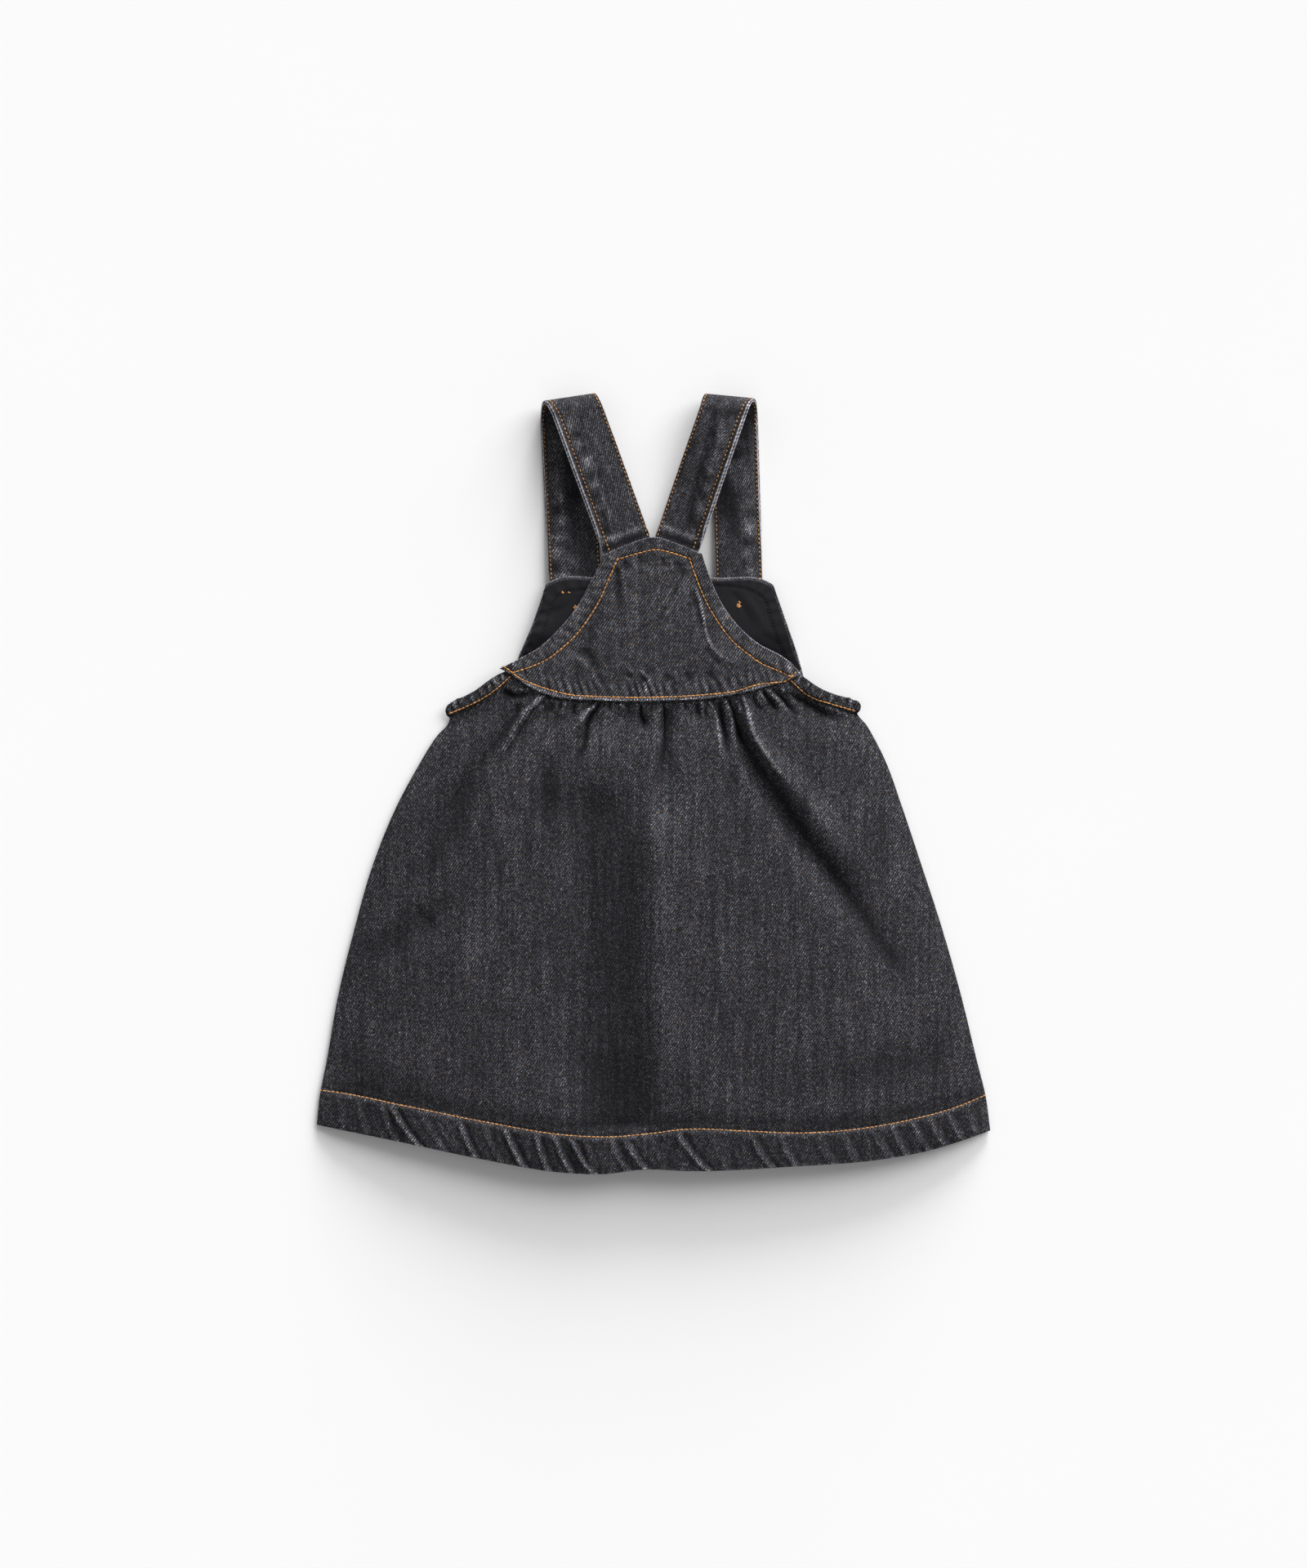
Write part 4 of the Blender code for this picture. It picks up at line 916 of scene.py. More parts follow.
@dataclass
class Skirt:
    """Back and front of the skirt, and the bands that finish the underarm edges."""

    side_height: float = DENIM_WALL * 1.5 + SEAM_GAP
    seam_height: float = 8.0
    hem_height: float = 17.5
    rise_share: float = 0.18
    crown_power: float = 2.6
    crown_round: float = 0.8
    gather_strength: float = 1.35
    gather_wear_and_shade: float = 2.1
    gather_shares: Point2 = (0.015, 0.027)
    underarm_x: float = 126.0
    underarm_run: float = 38.0
    seam_share: float = 0.022
    puff_share: float = 0.14
    side_fade: float = 0.07
    columns: int = 388
    rows: int = 188
    row_closeness: float = 0.62
    hem_step: float = 0.8
    front_inset: float = 0.6
    front_columns: int = 141
    front_rows: int = 97
    front_row_closeness: float = 0.5
    band_grid: tuple[int, int] = (101, 25)
    band_edge_wall: float = 0.35
    back: ClothWall = field(init=False)
    front: ClothWall = field(init=False)
    bands: dict[str, ClothWall] = field(init=False, default_factory=dict)
    plan: PanelPlan = field(init=False)
    hem_seam: PlanCurve = field(init=False)
    hem_edge: PlanCurve = field(init=False)

    FRONT_HEM: ClassVar[tuple[Point2, ...]] = (
        (-205.4, -207.9), (-155.0, -218.0), (-105.0, -227.5), (-30.0, -234.6), (45.0, -235.0),
        (95.0, -233.6), (145.0, -227.6), (182.0, -219.0), (205.4, -211.4),
    )
    # Top, bottom, outer and inner edge of each underarm band, from the photo.
    # The solids of the bands end 12 to 16 mm sooner, beside the yoke's tips.
    BAND_EDGES: ClassVar[dict[str, tuple[tuple[Point2, ...], ...]]] = {
        "left": (
            ((-125.4, 48.4), (-122.4, 50.6), (-116.2, 53.4), (-109.0, 57.2), (-100.7, 63.3), (-94.0, 67.4),
             (-87.0, 70.0)),
            ((-124.6, 40.2), (-120.6, 42.4), (-114.0, 45.6), (-105.0, 50.2), (-98.0, 54.7), (-92.5, 59.2),
             (-86.0, 64.0)),
            ((-125.4, 48.4), (-126.9, 45.8), (-126.8, 42.6), (-124.6, 40.2)),
            ((-87.0, 70.0), (-86.5, 67.0), (-86.0, 64.0)),
        ),
        "right": (
            ((124.0, 50.8), (119.3, 52.5), (110.9, 54.8), (103.8, 57.6), (97.9, 61.0), (91.9, 65.4),
             (84.5, 69.0)),
            ((124.4, 43.0), (119.6, 43.6), (112.1, 46.0), (103.8, 48.7), (97.9, 50.8), (91.9, 54.6),
             (82.5, 62.0)),
            ((124.0, 50.8), (126.3, 48.8), (126.6, 45.6), (124.4, 43.0)),
            ((84.5, 69.0), (83.5, 65.5), (82.5, 62.0)),
        ),
    }
    BAND_SEAMS: ClassVar[dict[str, tuple[Point2, ...]]] = {
        "left": ((-88.0, 65.2), (-92.5, 61.0), (-98.0, 56.5), (-105.0, 52.0), (-114.0, 47.5), (-123.8, 43.4)),
        "right": ((84.5, 62.6), (87.5, 59.8), (92.0, 55.8), (98.0, 52.3), (106.2, 49.6), (115.7, 46.8),
                  (122.2, 44.9)),
    }

    def __post_init__(self) -> None:
        """Work out the plan curves."""
        self.plan = panel(SKIRT_BACK_TOP, SKIRT_BACK_HEM, SKIRT_LEFT, SKIRT_RIGHT)
        self.hem_seam = PlanCurve(HEM_SEAM)
        self.hem_edge = PlanCurve(SKIRT_BACK_HEM)

    def back_form(self, s: Array, t: Array) -> Array:
        """Middle of the back's wall before its folds, by the rule of its solid."""
        plan = self.plan.at(s, t)
        x, y = plan[..., 0], plan[..., 1]
        across = np.abs(2 * s - 1)
        rise = 1 - np.exp(-np.clip(t - self.seam_share, 0.0, 1.0) / self.rise_share)
        middle = self.seam_height + (self.hem_height - self.seam_height) * rise
        crown = np.clip(1 - across**self.crown_power, 0.0, 1.0) ** self.crown_round
        puff = self.side_height + (middle - self.side_height) * crown
        from_underarm = smooth_step(self.underarm_x - np.abs(x), 0.0, self.underarm_run)
        top_edge = self.side_height + (self.seam_height - self.side_height) * from_underarm
        height = top_edge + (puff - top_edge) * smooth_step(t, self.seam_share, self.puff_share)
        return np.stack([x, y, height], axis=-1)

    def below_hem_seam(self, x: Array, y: Array) -> tuple[Array, Array]:
        """Distance below the hem's seam, and the share of the hem's depth there."""
        seam_y = np.interp(x, self.hem_seam.line[:, 0], self.hem_seam.line[:, 1])
        edge_y = np.interp(x, self.hem_edge.line[:, 0], self.hem_edge.line[:, 1])
        below = seam_y - y
        return below, np.clip(below / np.maximum(seam_y - edge_y, 1.0), 0.0, 1.0)

    def hem_relief(self, x: Array, y: Array) -> tuple[Array, Array]:
        """Height and wear that the turned hem adds."""
        below, share = self.below_hem_seam(x, y)
        turned = smooth_step(below, -0.4, 1.2)
        height = self.hem_step * turned - 0.45 * bell(below, 0.9)
        height -= 0.9 * bell(np.minimum(below + 4.0, 0.0), 6.0) * (1 - turned)
        # Painted shade in the dark band above the hem's seam; the turned hem a little darker; its lower edge
        # lighter as wear; ridge crests lighter as wear, with painted shade on each ridge's lee side.
        wear_and_shade = -0.55 * bell(below + 4.5, 4.0) * (1 - turned) + 0.15 * bell(below - 1.8, 1.2) - 0.2 * turned
        wear_and_shade += 0.7 * smooth_step(share, 0.94, 1.0) + 0.14 * puckers(x - 0.5 * below, 5.2) * turned
        for start, end, depth, half_width, wear_and_shade_amount in HEM_RIDGES:
            bow = start + (end - start) * (0.35 * share + 0.65 * share**1.8)
            shape = bell(x - bow, half_width * (1 + 0.25 * share))
            lee = bell(x - bow - 2.2 * half_width, 1.3 * half_width)
            reach = smooth_step(below, 0.8, 5.0)
            height = height + (1.1 * depth * shape - 0.6 * depth * lee) * reach
            wear = bell(x - bow, 0.62 * half_width)
            wear_and_shade = wear_and_shade + (1.7 * wear_and_shade_amount * wear - 0.95 * wear_and_shade_amount * lee) * reach
        tug = puckers(x, 7.5)
        height += 0.22 * tug * bell(below + 3.0, 3.2) + 0.16 * tug * bell(below - 3.0, 2.4)
        return height, wear_and_shade

    def back_surface(self, s: Array, t: Array) -> tuple[Array, Array]:
        """Middle of the back's wall and how worn the cloth is."""
        point = self.back_form(s, t)
        x, y = point[..., 0], point[..., 1]
        side = smooth_step(1 - np.abs(2 * s - 1), 0.0, self.side_fade)
        start = smooth_step(t, self.seam_share, 2.4 * self.seam_share)
        gather_start = smooth_step(t, *self.gather_shares)
        height, wear_and_shade = np.zeros_like(x), np.zeros_like(x)
        for fold in MAIN_FOLDS:
            shape = fold.profile(x, y) * start
            height += fold.depth * shape
            wear_and_shade += fold.wear_and_shade * shape
        # Small gathers' light and dark marks are made stronger: lighter crests as wear and partly as painted
        # highlight, darker hollows as painted shade.
        for fold in FINE_FOLDS:
            shape = fold.profile(x, y) * gather_start
            small = fold.end < 3.0
            height += fold.depth * shape * (self.gather_strength if small else 1.0)
            wear_and_shade += fold.wear_and_shade * shape * (self.gather_wear_and_shade if small else 1.0)
        seam_y = np.interp(x, self.plan.top.line[:, 0], self.plan.top.line[:, 1])
        under = np.clip(seam_y - y - 4.0, 0.0, None)
        fan = x * (1 - 0.0035 * np.clip(seam_y - y, 0.0, 20.0))
        gathers = puckers(fan, 3.9) + 0.6 * puckers(fan + 31.0, 6.3)
        height += 0.5 * gathers * np.exp(-under / 6.0) * gather_start
        # Crests of the gathers lighter as wear, their hollows darker as painted shade, and a thin painted
        # shadow just below the yoke's bottom edge.
        crests = np.clip(gathers, 0.0, 1.2) ** 1.5 + 0.5 * np.minimum(gathers, 0.0)
        wear_and_shade += (1.1 * crests * np.exp(-under / 5.5) - 1.3 * bell(under - 0.4, 0.8)) * gather_start
        height -= 0.8 * bell(under, 1.6) * start * bell(x, 86.0)
        hem_height, hem_wear_and_shade = self.hem_relief(x, y)
        height = (height + hem_height) * side
        wear_and_shade = wear_and_shade + hem_wear_and_shade * (0.4 + 0.6 * side)
        point[..., 2] += height
        return point, wear_and_shade

    def row_shares(self) -> Array:
        """Fractions down the skirt, closer together at both ends."""
        even = np.linspace(0.0, 1.0, self.rows + 1)
        return even - self.row_closeness * np.sin(2 * math.pi * even) / (2 * math.pi)

    def build_back(self, finish: Material) -> Object:
        """Make the back of the skirt."""
        s, t = np.meshgrid(np.linspace(0.0, 1.0, self.columns + 1), self.row_shares())
        middle, wear_and_shade = self.back_surface(s, t)
        self.back = ClothWall("skirt_back_cloth", middle, DENIM_WALL, middle[..., :2], wear_and_shade,
                              pale=PaleFace.LOWER, lower_step=2)
        return self.back.build(finish)

    def build_front(self, finish: Material) -> Object:
        """Make the front of the skirt, which the dress lies on."""
        left = [(x + self.front_inset, y) for x, y in SKIRT_LEFT]
        right = [(x - self.front_inset, y) for x, y in SKIRT_RIGHT]
        left[-1], right[-1] = self.FRONT_HEM[0], self.FRONT_HEM[-1]
        behind_bib = [(x, y + Bodice.bib_lap) for x, y in BIB_BOTTOM]
        behind_bib[0] = (behind_bib[0][0] + 1.0, behind_bib[0][1] - 1.0)
        behind_bib[-1] = (behind_bib[-1][0] - 4.5, behind_bib[-1][1] - 3.5)
        top = [left[0], (-109.5, 54.5), (-97.0, 63.0)] + behind_bib + [(101.0, 56.0), right[0]]
        plan = panel(top, self.FRONT_HEM, left, right)
        even = np.linspace(0.0, 1.0, self.front_rows)
        rows = even - self.front_row_closeness * np.sin(2 * math.pi * even) / (2 * math.pi)
        s, t = np.meshgrid(np.linspace(0.0, 1.0, self.front_columns), rows)
        point = plan.at(s, t)
        x, y = point[..., 0], point[..., 1]
        edge = np.array(BIB_BOTTOM)
        above_seam = y - np.interp(x, edge[:, 0], edge[:, 1])
        within = smooth_step(x, edge[0, 0] - 20.0, edge[0, 0] - 9.0)
        within *= smooth_step(-x, -edge[-1, 0] - 20.0, -edge[-1, 0] - 9.0)
        lift = (DENIM_WALL + SEAM_GAP) * smooth_step(above_seam, -12.0, -4.0) * within
        middle = np.stack([x, y, DENIM_WALL / 2 + lift], axis=-1)
        below, share = self.below_hem_seam(x, y)
        gathers = puckers(x, 6.0) * np.exp(-np.clip(-above_seam - 2.0, 0.0, None) / 12.0)
        wear_and_shade = 0.3 * gathers * within + 0.12 * puckers(x + 0.4 * y, 13.0) * smooth_step(below, 0.0, 3.0)
        # Lower edge lighter as wear; painted shade along the hem's sewn groove.
        wear_and_shade += 0.5 * smooth_step(share, 0.93, 1.0) - 0.3 * bell(below, 1.0)
        wall = DENIM_WALL - 0.35 * bell(below, 0.9)
        self.front = ClothWall("skirt_front_cloth", middle, wall, middle[..., :2], wear_and_shade, pale=PaleFace.UPPER)
        return self.front.build(finish)

    def build_band(self, side: str, finish: Material) -> Object:
        """Make one underarm band, thin where it runs into the skirt.

        Args:
            side: "left" or "right".
            finish: Its material.

        Returns:
            The band.
        """
        plan = panel(*self.BAND_EDGES[side])
        s, t = panel_grid(*self.band_grid)
        if side == "right":
            s = s[:, ::-1]
        place = plan.at(s, t)
        inner_x = np.clip(place[..., 0], -122.6, 122.2)
        ground = self.back.upper_height(inner_x, place[..., 1] - 1.6 * (1 - t), self.side_height)
        point = np.concatenate([place, ground[..., None]], axis=-1)
        body = 1 - smooth_step(t, 0.75, 1.0)
        under_yoke = smooth_step(s, 0.7, 0.9)
        thin = self.band_edge_wall
        wall = (thin + (BAND_WALL - thin) * body - 0.3 * bell(t - 0.86, 0.08)) * (1 - 0.65 * under_yoke)
        run = s * plan.top.length
        ticks = puckers(run - 3.0 * t, 5.2) + 0.4 * puckers(run + 40.0, 3.1)
        crest = np.clip(ticks, 0.0, 1.0) ** 1.6 * (0.6 + 0.4 * smooth_step(s, 0.12, 0.3))
        reach = bell(t - 0.42, 0.34) * smooth_step(s, 0.02, 0.12)
        point[..., 2] += SEAM_GAP + wall / 2 - 0.25 * (1 - body) - 0.3 * under_yoke
        point[..., 2] += (0.55 * ticks * bell(t - 0.42, 0.28) + 0.5 * bell(t - 0.25, 0.3)) * (1 - under_yoke)
        # Crests of the puckers lighter as wear, their hollows darker as painted shade; top edge lighter as
        # wear; painted shade along the lower edge, where the band runs into the skirt, and in the line where
        # it thins.
        wear_and_shade = (2.2 * crest + 0.5 * np.minimum(ticks, 0.0)) * reach + 0.3 * bell(t,
            0.1) - 0.5 * bell(t - 1.0, 0.12)
        wear_and_shade -= 0.5 * bell(t - 0.76, 0.07)
        band = ClothWall(f"underarm_band_{side}_cloth", point, wall, point[..., :2], wear_and_shade)
        self.bands[side] = band
        return band.build(finish)


# --------------------------------------------------------------------------
# Bodice
# --------------------------------------------------------------------------

YOKE_TOP: tuple[Point2, ...] = ((-31.0, 139.8), (-16.0, 146.2), (0.6, 150.8), (15.0, 146.6), (29.5, 140.8))
YOKE_LEFT: tuple[Point2, ...] = (
    (-31.0, 139.8), (-33.0, 134.0), (-39.0, 122.5), (-46.5, 108.5), (-58.0, 94.5),
    (-70.5, 83.0), (-81.0, 77.0), (-94.0, 70.5),
)
YOKE_RIGHT: tuple[Point2, ...] = (
    (29.5, 140.8), (34.0, 127.5), (40.5, 112.5), (50.5, 98.0), (64.5, 85.5),
    (78.5, 78.0), (86.0, 72.0), (90.0, 66.8),
)
YOKE_BOTTOM: tuple[Point2, ...] = (
    (-94.0, 70.5), (-87.5, 67.0), (-74.5, 58.5), (-62.0, 53.5), (-36.0, 51.0), (2.0, 50.5),
    (40.5, 53.0), (66.0, 58.5), (83.5, 64.0), (90.0, 66.8),
)
YOKE_SEAMS: dict[str, tuple[Point2, ...]] = {
    "left": (
        (-22.0, 137.0), (-25.0, 130.5), (-28.0, 123.5), (-30.5, 117.2), (-35.4, 107.8), (-41.6, 98.4),
        (-47.4, 90.8), (-55.0, 83.7), (-64.0, 76.6), (-74.8, 71.6), (-85.6, 68.0),
    ),
    "right": (
        (22.0, 137.5), (24.4, 130.5), (27.0, 123.5), (33.2, 109.3), (40.0, 98.0), (50.0, 85.6), (58.2, 79.0),
        (66.3, 73.2), (74.5, 69.8), (82.7, 66.0),
    ),
    "top": ((-22.0, 137.0), (-10.0, 140.6), (2.0, 143.0), (12.0, 140.8), (22.0, 137.5)),
    "bottom": (
        (-92.6, 72.4), (-87.9, 69.2), (-81.5, 64.5), (-73.2, 60.8), (-63.3, 57.4), (-50.9, 54.4),
        (-36.0, 53.4),
        (2.0, 52.9), (30.0, 54.3), (50.0, 56.6), (65.3, 60.9), (75.5, 62.0), (80.6, 62.9), (83.7, 64.8),
        (86.4, 67.6),
    ),
}
BIB_BOTTOM: tuple[Point2, ...] = (
    (-86.5, 66.0), (-74.0, 60.5), (-50.0, 55.5), (0.0, 53.0), (50.0, 55.5), (76.0, 60.5), (92.0, 65.5),
)
BIB_TOP: tuple[Point2, ...] = (
    (-67.0, 117.5), (-65.5, 122.3), (-61.0, 124.8), (-30.0, 126.0), (3.0, 126.6),
    (40.0, 126.0), (69.0, 124.2), (72.8, 122.0), (74.7, 117.5),
)
BIB_LEFT: tuple[Point2, ...] = ((-67.0, 117.5), (-75.5, 94.0), (-82.5, 78.0), (-86.5, 66.0))
BIB_RIGHT: tuple[Point2, ...] = ((74.7, 117.5), (83.0, 94.0), (88.5, 78.0), (92.0, 65.5))

YOKE_FOLDS: tuple[Fold, ...] = (
    Fold(-0.9, 2.0, 2.6, ((-22.5, 134.0), (-22.0, 119.0), (-22.5, 102.0)), wear_and_shade=-0.5),
    Fold(0.6, 1.0, 1.4, ((-19.0, 132.0), (-18.0, 118.0), (-18.0, 106.0)), wear_and_shade=0.4),
    Fold(-0.7, 4.0, 5.0, ((-31.0, 116.0), (-35.0, 101.0), (-42.0, 84.0), (-44.0, 72.0)), wear_and_shade=-0.35),
    Fold(-0.9, 2.6, 3.4, ((-47.0, 82.0), (-39.0, 78.0), (-36.0, 66.0), (-33.0, 57.0)), wear_and_shade=-0.5),
    Fold(0.6, 1.4, 2.0, ((-47.5, 77.5), (-42.0, 72.5), (-39.0, 67.0)), wear_and_shade=0.4),
    Fold(0.7, 1.2, 1.8, ((-38.0, 72.0), (-35.5, 63.0), (-31.0, 56.5)), wear_and_shade=0.5),
    Fold(-0.6, 1.4, 2.0, ((22.5, 118.0), (27.0, 105.0), (29.5, 92.0)), wear_and_shade=-0.4),
    Fold(0.7, 0.8, 1.1, ((24.0, 123.0), (28.5, 110.0), (31.0, 97.0), (34.0, 86.0), (41.0, 78.0), (50.0, 73.5),
                         (58.0, 71.0)), wear_and_shade=0.6),
    Fold(-0.5, 1.4, 2.0, ((31.0, 84.0), (38.0, 75.0), (47.0, 69.0)), wear_and_shade=-0.35),
    Fold(-0.5, 2.0, 2.4, ((-18.0, 136.0), (-14.0, 130.0)), wear_and_shade=-0.5),
    Fold(-0.5, 2.0, 2.4, ((-9.0, 139.5), (-5.5, 132.0)), wear_and_shade=-0.5),
    Fold(0.4, 1.2, 1.6, ((-13.0, 137.0), (-10.0, 128.0)), wear_and_shade=0.3),
    Fold(-0.5, 1.8, 2.4, ((4.5, 138.5), (7.0, 131.0)), wear_and_shade=-0.45),
    Fold(-0.5, 1.8, 2.6, ((13.0, 136.5), (17.0, 130.0), (20.0, 123.0)), wear_and_shade=-0.45),
    Fold(0.4, 1.2, 1.6, ((10.0, 137.0), (12.0, 128.0)), wear_and_shade=0.25),
    Fold(0.35, 0.8, 1.1, ((1.0, 102.0), (11.0, 118.0), (18.0, 130.0)), wear_and_shade=0.3),
    Fold(0.35, 0.8, 1.1, ((6.0, 100.0), (14.0, 114.0), (22.0, 127.0)), wear_and_shade=0.3),
    Fold(0.3, 0.8, 1.1, ((-3.0, 106.0), (4.0, 120.0), (8.0, 128.0)), wear_and_shade=0.25),
    Fold(-0.35, 1.0, 1.3, ((3.5, 101.0), (12.5, 116.0), (20.0, 129.0)), wear_and_shade=-0.3),
    Fold(-0.6, 2.0, 2.4, ((-13.0, 69.0), (-16.0, 64.0)), 0.3, 0.3, wear_and_shade=-0.6),
    Fold(-0.6, 1.8, 2.2, ((-8.0, 67.0), (-5.0, 61.0)), 0.3, 0.3, wear_and_shade=-0.6),
    Fold(0.5, 0.9, 1.2, ((-8.5, 70.0), (-3.5, 64.0), (-1.5, 58.0)), wear_and_shade=0.5),
    Fold(0.5, 1.0, 1.3, ((-16.0, 70.0), (-11.5, 66.0)), wear_and_shade=0.4),
    Fold(-0.5, 1.8, 2.2, ((7.5, 68.0), (9.5, 62.0)), 0.3, 0.3, wear_and_shade=-0.5),
    Fold(-0.5, 1.8, 2.2, ((19.0, 69.0), (23.0, 62.0)), 0.3, 0.3, wear_and_shade=-0.5),
    Fold(-0.5, 1.8, 2.2, ((33.0, 69.0), (36.0, 62.0)), 0.3, 0.3, wear_and_shade=-0.4),
    Fold(0.4, 1.0, 1.3, ((13.0, 69.0), (15.5, 60.0)), wear_and_shade=0.35),
    Fold(0.4, 1.0, 1.3, ((42.0, 72.0), (44.0, 62.0)), wear_and_shade=0.35),
)
LINING_SEAM: tuple[Point2, ...] = (
    (-76.5, 74.0), (-71.0, 84.0), (-66.5, 96.0), (-62.3, 109.0), (-60.0, 113.6), (-55.5, 116.5),
    (-38.0, 119.0),
    (0.0, 120.5), (42.0, 121.0), (51.0, 120.4), (61.6, 117.2), (67.8, 112.8), (70.6, 103.6), (75.0, 90.0),
    (81.5, 75.0),
)
LINING_FOLDS: tuple[Fold, ...] = (
    Fold(-0.35, 1.6, 2.2, ((-74.0, 104.0), (-60.0, 106.0), (-48.0, 112.0))),
    Fold(0.30, 1.8, 2.4, ((-74.0, 99.0), (-60.0, 101.0))),
    Fold(-0.35, 1.8, 2.4, ((-80.0, 84.0), (-68.0, 87.0), (-60.0, 92.0))),
    Fold(-0.35, 2.0, 2.6, ((-84.0, 73.0), (-70.0, 76.0))),
    Fold(0.30, 2.0, 3.0, ((-76.0, 91.0), (-66.0, 96.0), (-58.0, 104.0))),
    Fold(-0.35, 1.8, 2.6, ((48.0, 118.0), (56.0, 106.0), (62.0, 92.0))),
    Fold(0.30, 2.0, 3.0, ((56.0, 116.0), (66.0, 100.0), (72.0, 84.0))),
    Fold(-0.30, 2.0, 3.0, ((66.0, 92.0), (80.0, 84.0))),
)


@dataclass
class Bodice:
    """Back yoke, front bib and the bib's lining."""

    yoke_height: float = 9.6
    yoke_crown: float = 1.2
    margin: float = 8.0
    margin_step: float = 0.5
    pucker_pitch: float = 8.5
    bib_low: float = DENIM_WALL / 2
    bib_high: float = 6.0
    flat_strip: float = 5.5
    rise_end: float = 34.0
    lining_inset: float = 1.6
    bib_width: float = 150.0
    bib_depth: float = 60.0
    lining_depth: float = 55.0
    yoke_grid: tuple[int, int] = (313, 185)
    bib_grid: tuple[int, int] = (121, 67)
    lining_grid: tuple[int, int] = (161, 81)
    yoke: ClothWall = field(init=False)
    bib: ClothWall = field(init=False)
    lining: ClothWall = field(init=False)
    seams: dict[str, PlanCurve] = field(init=False)
    lining_seam: PlanCurve = field(init=False)

    bib_lap: ClassVar[float] = 4.0

    def __post_init__(self) -> None:
        """Work out the seam lines of the yoke."""
        self.seams = {name: PlanCurve(line) for name, line in YOKE_SEAMS.items()}
        self.lining_seam = PlanCurve(LINING_SEAM)

    def build_yoke(self, finish: Material) -> Object:
        """Make the back yoke, thicker inside its turned and topstitched edges."""
        edges = {name: PlanCurve(line) for name, line in
                 (("top", YOKE_TOP), ("left", YOKE_LEFT), ("right", YOKE_RIGHT), ("bottom", YOKE_BOTTOM))}
        plan = PanelPlan(edges["top"], edges["bottom"], edges["left"], edges["right"])
        s, t = panel_grid(*self.yoke_grid)
        point = plan.at(s, t)
        point[..., 1] += 0.35 * puckers(point[..., 0], 6.0) * smooth_step(t, 0.93, 1.0)
        x, y = point[..., 0], point[..., 1]
        away = {name: edge.distance(x, y, 48)[0] for name, edge in edges.items()}
        armhole, seam = np.minimum(away["left"], away["right"]), away["bottom"]
        inside = smooth_step(np.minimum(armhole, seam), 0.0, 30.0)
        margin = 1 - smooth_step(np.minimum(armhole, 2.5 * seam), self.margin - 1.5, self.margin + 1.5)
        height = self.yoke_height + self.yoke_crown * inside + self.margin_step * margin
        wear_and_shade = np.zeros_like(x)
        line_away = {name: line.distance(x, y, 40) for name, line in self.seams.items()}
        near_line = np.minimum.reduce([line_away[name][0] for name in ("left", "right", "top", "bottom")])
        height -= 0.42 * bell(near_line, 0.75)
        # Along the armholes and the top, crests of the puckers lighter as wear and their hollows darker as
        # painted shade.
        for name in ("left", "right", "top"):
            run = line_away[name][1] * self.seams[name].length
            near = line_away[name][0]
            height += 0.22 * puckers(run, 6.0) * bell(near - 3.5, 2.6)
            wear_and_shade += 0.3 * puckers(run, 6.0) * bell(away[name] - 3.4, 2.8)
        height += 0.28 * (1 + puckers(x, self.pucker_pitch)) * bell(seam - 5.0, 5.0)
        ticks = puckers(x + 0.3 * (seam - 4.0), 5.2)
        height += 0.42 * ticks * bell(seam - 6.5, 4.5)
        height += 0.28 * bell(seam - 1.0, 1.0)
        # Along the bottom seam, crests of the ticks lighter as wear and their hollows darker as painted
        # shade; the folded edges lighter as wear; both lower tips darker; painted shade along the stitched
        # grooves.
        wear_and_shade += 0.8 * ticks * bell(seam - 7.0, 4.5)
        wear_and_shade += 1.1 * bell(seam - 0.8, 0.9) + 0.35 * bell(armhole, 0.8) + 0.1 * bell(away["top"], 0.8)
        wear_and_shade -= 1.5 * bell(np.hypot(np.abs(x) - 91.5, y - 71.0), 4.0)
        wear_and_shade -= 0.35 * bell(near_line, 1.0)
        wear_and_shade += 0.16 * (1 - smooth_step(armhole, 6.0, 9.0))
        # Fold troughs darker as painted shade; ridges lighter as worn crests and partly as painted highlight.
        for fold in YOKE_FOLDS:
            shape = fold.profile(x, y)
            height += fold.depth * shape
            wear_and_shade += 1.6 * fold.wear_and_shade * shape
        middle = np.stack([x, y, height], axis=-1)
        self.yoke = ClothWall("yoke_back_cloth", middle, DENIM_WALL, middle[..., :2], wear_and_shade,
                              pale=PaleFace.LOWER, lower_step=2)
        return self.yoke.build(finish)

    def bib_form(self, x: Array, y: Array) -> Array:
        """Height of the bib's middle: flat at its seam, raised over the strap ends."""
        edge = np.array(BIB_BOTTOM)
        above_seam = y - np.interp(x, edge[:, 0], edge[:, 1])
        return self.bib_low + (self.bib_high - self.bib_low) * smooth_step(above_seam, self.flat_strip,
            self.rise_end)

    def build_bib(self, finish: Material) -> Object:
        """Make the front bib, its outer face down."""
        plan = panel(BIB_TOP, BIB_BOTTOM, BIB_LEFT, BIB_RIGHT)
        s, t = panel_grid(*self.bib_grid)
        point = plan.at(s, t)
        x, y = point[..., 0], point[..., 1]
        edge = np.minimum(np.minimum(s, 1 - s) * self.bib_width, t * self.bib_depth)
        wear_and_shade = 0.5 * bell(edge, 1.8)
        middle = np.stack([x, y, self.bib_form(x, y)], axis=-1)
        wall = DENIM_WALL - 0.3 * bell(edge - 7.0, 0.9)
        self.bib = ClothWall("bib_front_cloth", middle, wall, middle[..., :2], wear_and_shade)
        return self.bib.build(finish)

